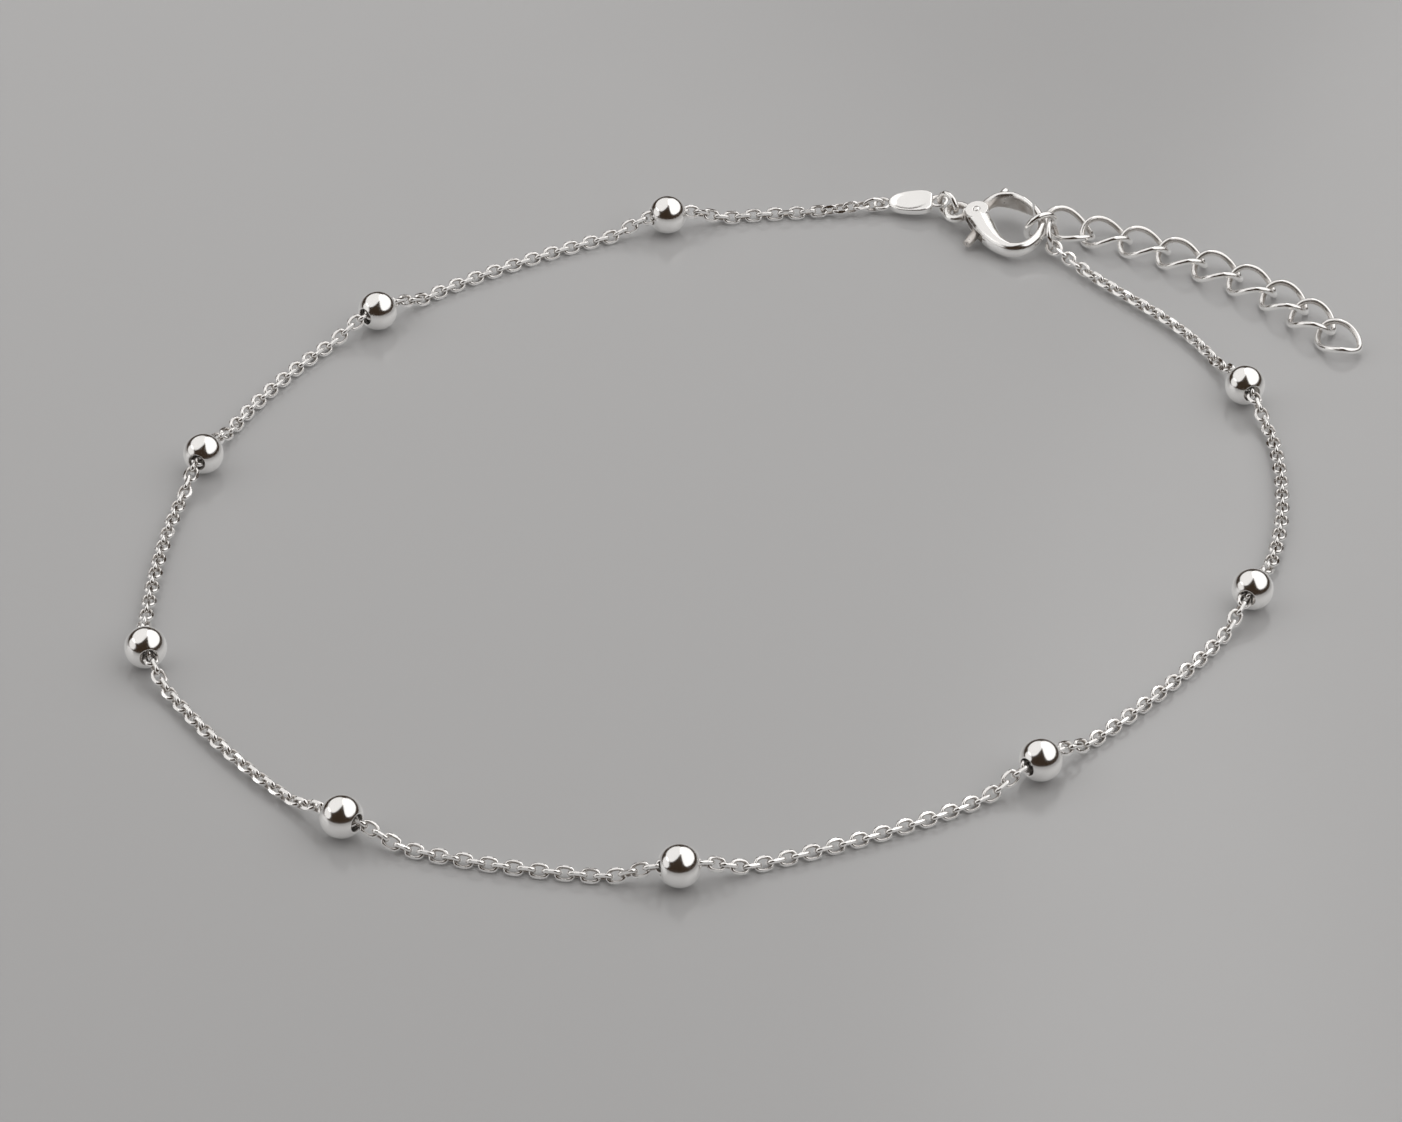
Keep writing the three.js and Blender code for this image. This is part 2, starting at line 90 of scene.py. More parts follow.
@dataclass
class Skin:
    """A closed surface in millimetres.

    Attributes:
        points: One row for each vertex.
        faces: Vertex numbers of each face, turning outward.
        hollow: How sheltered each vertex is, from 0 in the open to 1 inside a loop.
        cut: Which faces were cut flat by a tool and keep a hard edge.
    """

    points: np.ndarray
    faces: list
    hollow: np.ndarray
    cut: Optional[np.ndarray] = None

    def placed(self, turn: Euler, place: tuple) -> "Skin":
        """The same surface turned about the origin and then moved."""
        matrix = np.array(turn.to_matrix())
        return replace(self, points=self.points @ matrix.T + np.array(place))

    def moved(self, place: tuple) -> "Skin":
        """The same surface moved."""
        return replace(self, points=self.points + np.array(place))

    def to_mesh(self, name: str) -> bpy.types.Mesh:
        """A Blender mesh of the surface, still in millimetres.

        Args:
            name: What to call it.

        Returns:
            The mesh, smooth apart from its cut faces, with the point attribute "hollow".
        """
        mesh = bpy.data.meshes.new(name)
        mesh.from_pydata(self.points.tolist(), [], self.faces)
        smooth = np.ones(len(mesh.polygons), dtype=bool)
        if self.cut is not None:
            smooth &= ~self.cut
        mesh.polygons.foreach_set("use_smooth", smooth)
        sheltered = mesh.attributes.new("hollow", "FLOAT", "POINT")
        sheltered.data.foreach_set("value", self.hollow.astype(np.float32))
        mesh.update()
        return mesh


def turned(roll: float, pitch: float, heading: float) -> Euler:
    """A rotation of so many degrees about X, then Y, then Z."""
    return Euler((math.radians(roll), math.radians(pitch), math.radians(heading)), "XYZ")


def unit(rows: np.ndarray) -> np.ndarray:
    """Each row at length one."""
    return rows / np.linalg.norm(rows, axis=-1, keepdims=True)


def smoothstep(value: np.ndarray, low: float, high: float) -> np.ndarray:
    """0 up to low, 1 from high, and a smooth rise between them."""
    share = np.clip((value - low) / (high - low), 0.0, 1.0)
    return share * share * (3.0 - 2.0 * share)


def round_angles(count: int) -> np.ndarray:
    """That many even angles round a circle."""
    return 2 * np.pi * np.arange(count) / count


def spline(knots: np.ndarray, shares: np.ndarray) -> np.ndarray:
    """Samples a centripetal Catmull-Rom curve.

    Args:
        knots: The points that it visits, one row each.
        shares: Where to sample it, from 0 to 1, even from knot to knot.

    Returns:
        One point for each share.
    """
    ghost = np.vstack([2 * knots[0] - knots[1], knots, 2 * knots[-1] - knots[-2]])
    place = np.asarray(shares, dtype=float) * (len(knots) - 1)
    first = np.clip(place.astype(int), 0, len(knots) - 2)
    weight = (place - first)[:, None]
    before, start, end, after = (ghost[first + i] for i in range(4))
    gap_in = np.linalg.norm(start - before, axis=1, keepdims=True) ** 0.5
    gap = np.linalg.norm(end - start, axis=1, keepdims=True) ** 0.5
    gap_out = np.linalg.norm(after - end, axis=1, keepdims=True) ** 0.5
    step = (end - start) / gap
    leave = gap * ((start - before) / gap_in - (end - before) / (gap_in + gap) + step)
    arrive = gap * (step - (after - start) / (gap + gap_out) + (after - end) / gap_out)
    square = 3 * (end - start) - 2 * leave - arrive
    cube = 2 * (start - end) + leave + arrive
    return start + leave * weight + square * weight**2 + cube * weight**3


def distances(line: np.ndarray) -> np.ndarray:
    """How far along a line of points each of them is."""
    return np.concatenate([[0.0], np.cumsum(np.linalg.norm(np.diff(line, axis=0), axis=1))])


def grid_faces(rows: int, sides: int, closed: bool) -> list:
    """Quads between rows of points that each run round a closed section.

    Args:
        rows: How many sections there are.
        sides: How many points each section has.
        closed: Whether the last section joins the first.

    Returns:
        The faces, turning outward where sections follow their direction of travel.
    """
    row, side = np.meshgrid(np.arange(rows if closed else rows - 1), np.arange(sides), indexing="ij")
    here, there = row * sides, (row + 1) % rows * sides
    beside = (side + 1) % sides
    corners = [here + side, here + beside, there + beside, there + side]
    return np.stack(corners, axis=-1).reshape(-1, 4).tolist()


def capped_faces(rows: int, sides: int) -> list:
    """Quads between the sections of a rod, and one face over each of its ends.

    Args:
        rows: How many sections there are.
        sides: How many points each section has.

    Returns:
        The faces, turning outward.
    """
    faces = grid_faces(rows, sides, False)
    faces.append(list(range(sides))[::-1])
    faces.append(list(range((rows - 1) * sides, rows * sides)))
    return faces


def wire_loop(line: np.ndarray, out: np.ndarray, radius: np.ndarray, sides: int) -> Skin:
    """A round wire bent along a closed line.

    Args:
        line: The middle of the wire, one row for each step.
        out: The direction away from the loop's middle at each step.
        radius: The wire's radius at each step.
        sides: How many points go round the wire.

    Returns:
        The wire's surface, sheltered on the inside of the loop.
    """
    along = unit(np.roll(line, -1, axis=0) - np.roll(line, 1, axis=0))
    out = unit(out - along * np.sum(out * along, axis=1, keepdims=True))
    across = np.cross(along, out)
    angle = round_angles(sides)
    reach = np.broadcast_to(radius, len(line))[:, None, None]
    ring = out[:, None] * np.cos(angle)[:, None] + across[:, None] * np.sin(angle)[:, None]
    points = (line[:, None] + reach * ring).reshape(-1, 3)
    # The inside of the loop, where the silver paints shade with patina.
    hollow = np.tile(np.clip(-np.cos(angle), 0.0, 1.0), len(line))
    return Skin(points, grid_faces(len(line), sides, True), hollow)


def oval_wire(
    length: float, width: float, wire: float, steps: int, sides: int, seam: float = 0.0, bow: float = 1.0
) -> Skin:
    """A flat oval link lying in XY, long along X.

    Args:
        length: From one end of its middle line to the other.
        width: Across its middle line.
        wire: The wire's diameter.
        steps: How many sections it has.
        sides: How many points go round each.
        seam: How much the wire narrows where its ends were soldered.
        bow: How far its sides bow out, from 1 for an ellipse down to 0.5 for a squarer link.

    Returns:
        The link's surface.
    """
    angle = round_angles(steps)
    way = np.stack([np.cos(angle), np.sin(angle), 0 * angle], axis=1)
    line = np.array([length / 2, width / 2, 0.0]) * np.sign(way) * np.abs(way) ** bow
    out = np.array([width, length, 0.0]) * np.sign(way) * np.abs(way) ** (2 - bow)
    off_seam = np.minimum(np.abs(angle - SEAM_ANGLE), 2 * np.pi - np.abs(angle - SEAM_ANGLE))
    radius = wire / 2 * (1 - seam * np.exp(-((off_seam * length / 2 / SEAM_REACH) ** 2)))
    return wire_loop(line, out, radius, sides)


def lathe(profile: np.ndarray, rounds: int, hollow: np.ndarray) -> Skin:
    """Turns a closed profile about Z.

    Args:
        profile: Radius and height of each point, running round the material.
        rounds: How many times it is repeated round the axis.
        hollow: How sheltered each point of the profile is.

    Returns:
        The turned surface.
    """
    angle = round_angles(rounds)
    radius, height = profile[:, 0], profile[:, 1]
    circles = [np.outer(np.cos(angle), radius), np.outer(np.sin(angle), radius)]
    points = np.stack([*circles, np.tile(height, (rounds, 1))], axis=-1)
    faces = [face[::-1] for face in grid_faces(rounds, len(profile), True)]
    return Skin(points.reshape(-1, 3), faces, np.tile(hollow, rounds))


def limb(rows: tuple, steps: int, sides: int) -> Skin:
    """A cast limb in the claw's plane, with an oval section that changes along it.

    Args:
        rows: Place along U and V, half width, half height and any drop below the plane at each knot.
        steps: How many sections it has.
        sides: How many points go round each.

    Returns:
        The limb with rounded ends.
    """
    knots = np.array([(*row, 0.0)[:5] for row in rows])
    share = np.linspace(0.0, 1.0, steps)
    middle = spline(knots[:, (0, 1, 4)] * np.array([1.0, 1.0, -1.0]), share)
    along = unit(np.gradient(middle[:, :2], axis=0))
    across = np.stack([-along[:, 1], along[:, 0], 0 * share], axis=1)
    place = share * (len(knots) - 1)
    half_width = np.interp(place, np.arange(len(knots)), knots[:, 2])
    half_height = np.interp(place, np.arange(len(knots)), knots[:, 3])
    angle = round_angles(sides)
    side = across[:, None] * (half_width[:, None] * np.cos(angle))[..., None]
    lift = UP * (half_height[:, None] * np.sin(angle))[..., None]
    points = (middle[:, None] + side + lift).reshape(-1, 3)
    return Skin(points, capped_faces(steps, sides), np.zeros(len(points)))


def drum(place: tuple, radius: float, half_height: float, sides: int = 48, taper: float = 1.0) -> Skin:
    """An upright round solid in the claw's plane.

    Args:
        place: Where its axis crosses the plane.
        radius: Its radius at the foot.
        half_height: Half of its height.
        sides: How many points go round it.
        taper: The radius at the top, as a share of the foot's.

    Returns:
        The drum's surface.
    """
    angle = round_angles(sides)
    circle = np.stack([np.cos(angle), np.sin(angle), 0 * angle], axis=1)
    low = circle * radius - UP * half_height
    high = circle * radius * taper + UP * half_height
    points = np.vstack([low, high]) + np.array([place[0], place[1], 0.0])
    return Skin(points, capped_faces(2, sides), np.zeros(len(points)))


def block(low: tuple, high: tuple) -> Skin:
    """A box between two corners.

    Args:
        low: Its lowest corner.
        high: Its highest corner.

    Returns:
        The box's surface.
    """
    ends = np.array([low, high])
    points = np.array([[ends[x, 0], ends[y, 1], ends[z, 2]] for z in (0, 1) for y in (0, 1) for x in (0, 1)])
    faces = [[0, 2, 3, 1], [4, 5, 7, 6], [0, 1, 5, 4], [2, 6, 7, 3], [0, 4, 6, 2], [1, 3, 7, 5]]
    return Skin(points, faces, np.zeros(8))


class Bench:
    """Joins and cuts solids that are still in millimetres."""

    EASING = 0.5

    def __init__(self, skin: Skin) -> None:
        """Starts from one solid."""
        self.work = self._object(skin)

    @staticmethod
    def _object(skin: Skin) -> bpy.types.Object:
        """Puts a solid into the scene, for modifiers to work on.

        Args:
            skin: The solid.

        Returns:
            Its object.
        """
        thing = bpy.data.objects.new("bench", skin.to_mesh("bench"))
        bpy.context.scene.collection.objects.link(thing)
        return thing

    @staticmethod
    def _drop(thing: bpy.types.Object) -> None:
        """Removes an object with its mesh.

        Args:
            thing: The object.
        """
        mesh = thing.data
        bpy.data.objects.remove(thing)
        bpy.data.meshes.remove(mesh)

    def _bake(self) -> None:
        """Applies the modifiers of the work."""
        graph = bpy.context.evaluated_depsgraph_get()
        result = bpy.data.meshes.new_from_object(self.work.evaluated_get(graph))
        spent = self.work.data
        self.work.modifiers.clear()
        self.work.data = result
        bpy.data.meshes.remove(spent)

    def use(self, skin: Skin, how: Cut) -> "Bench":
        """Adds, removes or keeps what another solid covers.

        Args:
            skin: The other solid.
            how: What it does.

        Returns:
            The bench itself.
        """
        tool = self._object(skin)
        step = self.work.modifiers.new("cut", "BOOLEAN")
        step.object = tool
        step.operation = how.value
        step.solver = "EXACT"
        self._bake()
        self._drop(tool)
        return self

    def cast(self, voxel: float, smoothing: int) -> "Bench":
        """Softens every edge as casting and tumbling do.

        Args:
            voxel: The size of the grid that the solid is rebuilt on.
            smoothing: How many rounds its surface is eased.

        Returns:
            The bench itself.
        """
        remesh = self.work.modifiers.new("rebuild", "REMESH")
        remesh.mode = "VOXEL"
        remesh.voxel_size = voxel
        remesh.use_smooth_shade = True
        self._bake()
        ease = self.work.modifiers.new("ease", "SMOOTH")
        ease.factor = self.EASING
        ease.iterations = smoothing
        self._bake()
        return self

    def finish(self, sheltered: Optional[Callable[[np.ndarray], np.ndarray]] = None) -> Skin:
        """Takes the solid off the bench.

        Args:
            sheltered: A function of the points that says how hollow each is, or nothing for the open.

        Returns:
            Its surface.
        """
        mesh = self.work.data
        points = np.empty(len(mesh.vertices) * 3, dtype=np.float32)
        mesh.vertices.foreach_get("co", points)
        points = points.reshape(-1, 3).astype(float)
        faces = [list(face.vertices) for face in mesh.polygons]
        hollow = np.zeros(len(points)) if sheltered is None else sheltered(points)
        self._drop(self.work)
        return Skin(points, faces, hollow)


class Wiring:
    """Makes the nodes of one node tree and joins them."""

    def __init__(self, tree: bpy.types.NodeTree) -> None:
        """Works on that tree."""
        self.tree = tree

    def feed(self, node: bpy.types.Node, feeds: dict) -> bpy.types.Node:
        """Joins a node's inputs to other sockets, or sets them to plain values.

        Args:
            node: The node.
            feeds: What each input gets, by the input's name or number.

        Returns:
            The node.
        """
        for name, source in feeds.items():
            if isinstance(source, bpy.types.NodeSocket):
                self.tree.links.new(source, node.inputs[name])
            else:
                node.inputs[name].default_value = source
        return node

    def new(self, kind: str, feeds: dict) -> bpy.types.Node:
        """A new node with its inputs fed."""
        return self.feed(self.tree.nodes.new(kind), feeds)

    def noise(self, where: bpy.types.NodeSocket, scale: float, detail: float) -> bpy.types.NodeSocket:
        """A noise texture of that scale and detail."""
        feeds = {"Vector": where, "Scale": scale, "Detail": detail}
        return self.new("ShaderNodeTexNoise", feeds).outputs["Fac"]

    def remap(self, value: bpy.types.NodeSocket, source: tuple, target: tuple) -> bpy.types.NodeSocket:
        """A value taken from one range to another."""
        limits = zip(("From Min", "From Max", "To Min", "To Max"), source + target)
        return self.new("ShaderNodeMapRange", {"Value": value, **dict(limits)}).outputs["Result"]

    def math(self, operation: str, *given: object) -> bpy.types.NodeSocket:
        """Adds a math node.

        Args:
            operation: What it does.
            given: The sockets and numbers that it works on.

        Returns:
            Its result.
        """
        node = self.tree.nodes.new("ShaderNodeMath")
        node.operation = operation
        return self.feed(node, dict(enumerate(given))).outputs["Value"]


class SilverWearAndShade:
    """The node group that ages polished silver: brown patina with painted shade in hollows, haze and fine
    scratches.

    Noises are given as scale and detail, hairlines as turns in radians and a stretch of space, and the
    colour mix's sockets as their numbers.
    """

    NAME = "silver_wear_and_shade"
    INPUTS = (
        ("Tint", "NodeSocketColor"),
        ("Tarnish and Shade", "NodeSocketColor"),
        ("Depth", "NodeSocketFloat"),
        ("Polish", "NodeSocketFloat"),
        ("Haze", "NodeSocketFloat"),
    )
    OUTPUTS = (
        ("Color", "NodeSocketColor"),
        ("Metallic", "NodeSocketFloat"),
        ("Roughness", "NodeSocketFloat"),
        ("Height", "NodeSocketFloat"),
    )
    PATCHES = (900.0, 3.0)
    PATCH_TO_SHADE_FILM = ((0.3, 0.8), (0.35, 1.0))
    CLOUDS = (2600.0, 2.0)
    BARE_TO_SHADE_FILM = (1.0, 0.25)
    SHADE_FILM_DULLNESS = 0.3
    MIX_CLEAN = 6
    MIX_SHADE_FILM = 7
    MIX_RESULT = 2
    HAIRS = (1.0, 2.0)
    HAIR_TURNS = ((0.3, 0.2, 0.5), (0.3, 0.2, 2.1))
    HAIR_STRETCH = (1200.0, 22000.0, 9000.0)

    @classmethod
    def group(cls) -> bpy.types.NodeTree:
        """The group, made on first use."""
        return bpy.data.node_groups.get(cls.NAME) or cls._build()

    @classmethod
    def _build(cls) -> bpy.types.NodeTree:
        """Makes the group's sockets and nodes.

        Returns:
            The group.
        """
        tree = bpy.data.node_groups.new(cls.NAME, "ShaderNodeTree")
        for way, sockets in (("INPUT", cls.INPUTS), ("OUTPUT", cls.OUTPUTS)):
            for name, kind in sockets:
                tree.interface.new_socket(name, in_out=way, socket_type=kind)
        wiring = Wiring(tree)
        given = wiring.new("NodeGroupInput", {}).outputs
        place = wiring.new("ShaderNodeTexCoord", {}).outputs["Object"]
        hollow = wiring.new("ShaderNodeAttribute", {})
        hollow.attribute_name = "hollow"
        # Painted shade with patina: the hollow mask, made patchy by noise, turns the colour dark brown, less
        # metallic and rougher where shade falls.
        shade_film = wiring.remap(wiring.noise(place, *cls.PATCHES), *cls.PATCH_TO_SHADE_FILM)
        shelter = wiring.math("MULTIPLY", hollow.outputs["Fac"], shade_film)
        depth = wiring.math("MULTIPLY", shelter, given["Depth"])
        colour = wiring.new("ShaderNodeMix", {})
        colour.data_type = "RGBA"
        wiring.feed(colour, {"Factor": depth, cls.MIX_CLEAN: given["Tint"], cls.MIX_SHADE_FILM: given["Tarnish and Shade"]})
        haze = wiring.math("MULTIPLY_ADD", wiring.noise(place, *cls.CLOUDS), given["Haze"], given["Polish"])
        made = {
            "Color": colour.outputs[cls.MIX_RESULT],
            "Metallic": wiring.remap(depth, (0.0, 1.0), cls.BARE_TO_SHADE_FILM),
            "Roughness": wiring.math("MULTIPLY_ADD", depth, cls.SHADE_FILM_DULLNESS, haze),
            "Height": cls._hairlines(wiring, place),
        }
        wiring.new("NodeGroupOutput", made)
        return tree

    @classmethod
    def _hairlines(cls, wiring: Wiring, place: bpy.types.NodeSocket) -> bpy.types.NodeSocket:
        """Draws two crossing sets of hairlines.

        Args:
            wiring: Makes the nodes.
            place: Where each point of the surface is.

        Returns:
            The hairlines' height.
        """
        heights = []
        for turn in cls.HAIR_TURNS:
            feeds = {"Vector": place, "Rotation": turn, "Scale": cls.HAIR_STRETCH}
            stretched = wiring.new("ShaderNodeMapping", feeds).outputs["Vector"]
            heights.append(wiring.noise(stretched, *cls.HAIRS))
        return wiring.math("MULTIPLY", *heights)


@dataclass(frozen=True)
class Silver:
    """One polish of the silver.

    Attributes:
        name: The material's name.
        polish: Its roughness where it is cleanest.
        haze: How much roughness the handled patches add.
        depth: How dark the patina and painted shade in the hollows are, from 0 to 1.
        scratch: The strength of the hairlines.
        hairline: How deep the hairlines are, in metres.
        tint: The colour of clean silver.
        tarnish_and_shade: The brown of the patina and of the painted shade in its hollows.
    """

    name: str
    polish: float
    haze: float
    depth: float
    scratch: float
    hairline: float = 0.00002
    tint: tuple = (0.93, 0.92, 0.905, 1.0)
    # Brown of the patina and of the painted shade in hollows.
    tarnish_and_shade: tuple = (0.22, 0.155, 0.1, 1.0)

    def material(self) -> bpy.types.Material:
        """The material, made on first use."""
        return bpy.data.materials.get(self.name) or self._build()

    def _build(self) -> bpy.types.Material:
        """Makes the material's nodes.

        Returns:
            The material.
        """
        material = bpy.data.materials.new(self.name)
        material.use_nodes = True
        wiring = Wiring(material.node_tree)
        wear_and_shade = wiring.new("ShaderNodeGroup", {})
        wear_and_shade.node_tree = SilverWearAndShade.group()
        ageing = {"Depth": self.depth, "Polish": self.polish, "Haze": self.haze}
        made = wiring.feed(wear_and_shade, {"Tint": self.tint, "Tarnish and Shade": self.tarnish_and_shade, **ageing}).outputs
        scratches = {"Strength": self.scratch, "Distance": self.hairline, "Height": made["Height"]}
        surface = {
            "Base Color": made["Color"],
            "Metallic": made["Metallic"],
            "Roughness": made["Roughness"],
            "Normal": wiring.new("ShaderNodeBump", scratches).outputs["Normal"],
        }
        wiring.feed(material.node_tree.nodes["Principled BSDF"], surface)
        return material


# depth sets how dark each finish paints the shade and patina in its hollows.
BALL_POLISH = Silver("polished_balls", polish=0.13, haze=0.05, depth=0.95, scratch=0.06)
CHAIN_POLISH = Silver("drawn_wire", polish=0.08, haze=0.1, depth=0.85, scratch=0.2)
LINK_POLISH = Silver("curb_wire", polish=0.12, haze=0.12, depth=0.6, scratch=0.25)
RING_POLISH = Silver("jump_rings", polish=0.1, haze=0.12, depth=0.7, scratch=0.25)
CAST_POLISH = Silver("tumbled_casting", polish=0.11, haze=0.14, depth=0.85, scratch=0.3)
PLATE_POLISH = Silver("satin_plate", polish=0.2, haze=0.04, depth=0.6, scratch=0.04)


@dataclass(frozen=True)
class Place:
    """Which CAD node a piece stands for, what it rides on and how it is finished."""

    name: str
    node: str
    slot: Slot
    finish: Silver
    body: Body = Body.ANKLET

    def publish(self, skin: Skin) -> bpy.types.Object:
        """Adds a piece to the scene in the part's frame.

        Args:
            skin: Its surface in millimetres.

        Returns:
            The finished piece.
        """
        mesh = skin.to_mesh(self.name)
        mesh.transform(Matrix.Scale(MM, 4) @ Matrix.Translation(SETTLED))
        mesh.materials.append(self.finish.material())
        piece = bpy.data.objects.new(self.name, mesh)
        bpy.context.scene.collection.objects.link(piece)
        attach(piece, self.body.value)
        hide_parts(self.node)
        LOG.info("%s for %s: %d faces", self.name, self.node, len(mesh.polygons))
        return piece


@dataclass(frozen=True)
class Route:
    """The chain's line in plan, through its bends and its beads.

    Attributes:
        beads: Where each bead sits.
        bends: Two points of each run between beads, the first run from the tag.
        start: The end at the tag.
        end: The end at the ring.
        rest_height: How high the chain's middle is where it lies on the table.
        bore_height: How high a bead carries it.
        bore_half: How far to each side of a bead's middle it stays level.
        climb: How far it takes to come down.
        fall: The power that shows how soon it stops lying on its planed side as it climbs.
        stride: How far to each side its direction is measured.
        samples: How finely the line is measured.
    """

    beads: tuple = (
        (-7.1, 36.5),
        (-27.2, 23.5),
        (-38.0, 5.4),
        (-40.0, -17.0),
        (-26.6, -34.8),
        (-6.0, -39.7),
        (16.3, -29.0),
        (30.9, -10.5),
        (32.4, 13.9),
    )
    bends: tuple = (
        ((5.2, 38.6), (-1.2, 37.9)),
        ((-13.0, 34.0), (-21.8, 28.5)),
        ((-30.9, 19.8), (-35.2, 12.6)),
        ((-39.4, -0.1), (-40.3, -9.1)),
        ((-36.9, -23.0), (-31.2, -30.6)),
        ((-21.0, -37.4), (-11.9, -39.4)),
        ((0.4, -37.8), (10.4, -33.2)),
        ((21.2, -24.2), (27.4, -16.5)),
        ((33.4, -2.6), (33.9, 7.9)),
        ((29.1, 21.6), (23.2, 29.1)),
    )
    start: tuple = (7.2, 38.95, 0.6)
    end: tuple = (20.73, 32.45, 0.754)
    rest_height: float = 0.39
    bore_height: float = 1.35
    bore_half: float = 1.15
    climb: float = 3.6
    fall: int = 4
    stride: float = 0.3
    samples: int = 6000

    def table(self) -> tuple:
        """Measures the line.

        Returns:
            Its points in plan, the distance to each, and each bead's distance.
        """
        knots, marks = [self.start[:2]], []
        for run, bead in zip(self.bends, self.beads + (None,)):
            knots.extend(run)
            if bead:
                marks.append(len(knots))
                knots.append(bead)
        knots.append(self.end[:2])
        share = np.linspace(0.0, 1.0, self.samples + 1)
        plan = spline(np.array(knots), share)
        reached = distances(plan)
        stations = np.interp(np.array(marks) / (len(knots) - 1), share, reached)
        return plan, reached, stations

    def heights(self, stations: np.ndarray, beads: np.ndarray, length: float) -> np.ndarray:
        """How high the chain's middle is at each station.

        Args:
            stations: Distances along the chain.
            beads: The beads' distances.
            length: The whole line's length.

        Returns:
            The heights.
        """
        nearest = np.min(np.abs(stations[:, None] - beads), axis=1)
        lift = 1.0 - smoothstep(nearest, self.bore_half, self.bore_half + self.climb)
        first = (self.start[2] - self.rest_height) * np.clip(1 - stations / self.climb, 0, 1)
        last = (self.end[2] - self.rest_height) * np.clip(1 - (length - stations) / self.climb, 0, 1)
        return self.rest_height + (self.bore_height - self.rest_height) * lift + first + last

    def spaced(self, inset: float, pitch: float) -> np.ndarray:
        """Stations that are even along the line as it climbs and falls.

        Args:
            inset: How far the first and the last are from the line's ends.
            pitch: About how far apart they are.

        Returns:
            Their distances in plan.
        """
        plan, reached, beads = self.table()
        climbed = distances(np.column_stack([plan, self.heights(reached, beads, reached[-1])]))
        reach = climbed[-1] - 2 * inset
        count = int(round(reach / pitch)) + 1
        return np.interp(inset + np.linspace(0.0, reach, count), climbed, reached)

    def resting(self, heights: np.ndarray) -> np.ndarray:
        """1 where the chain lies on the table, falling fast to 0 where a bead or an end lifts it."""
        lift = (heights - self.rest_height) / (self.bore_height - self.rest_height)
        return np.clip(1.0 - lift, 0.0, 1.0) ** self.fall

    def frames(self, stations: np.ndarray) -> tuple:
        """Where the chain is at each station and how it points.

        Args:
            stations: Distances along the chain.

        Returns:
            The points and the directions along.
        """
        plan, reached, beads = self.table()

        def at(where: np.ndarray) -> np.ndarray:
            """The line's points at those distances."""
            flat = np.stack([np.interp(where, reached, plan[:, i]) for i in (0, 1)], axis=1)
            return np.column_stack([flat, self.heights(where, beads, reached[-1])])

        low = np.clip(stations - self.stride, 0.0, reached[-1])
        high = np.clip(stations + self.stride, 0.0, reached[-1])
        return at(stations), unit(at(high) - at(low))


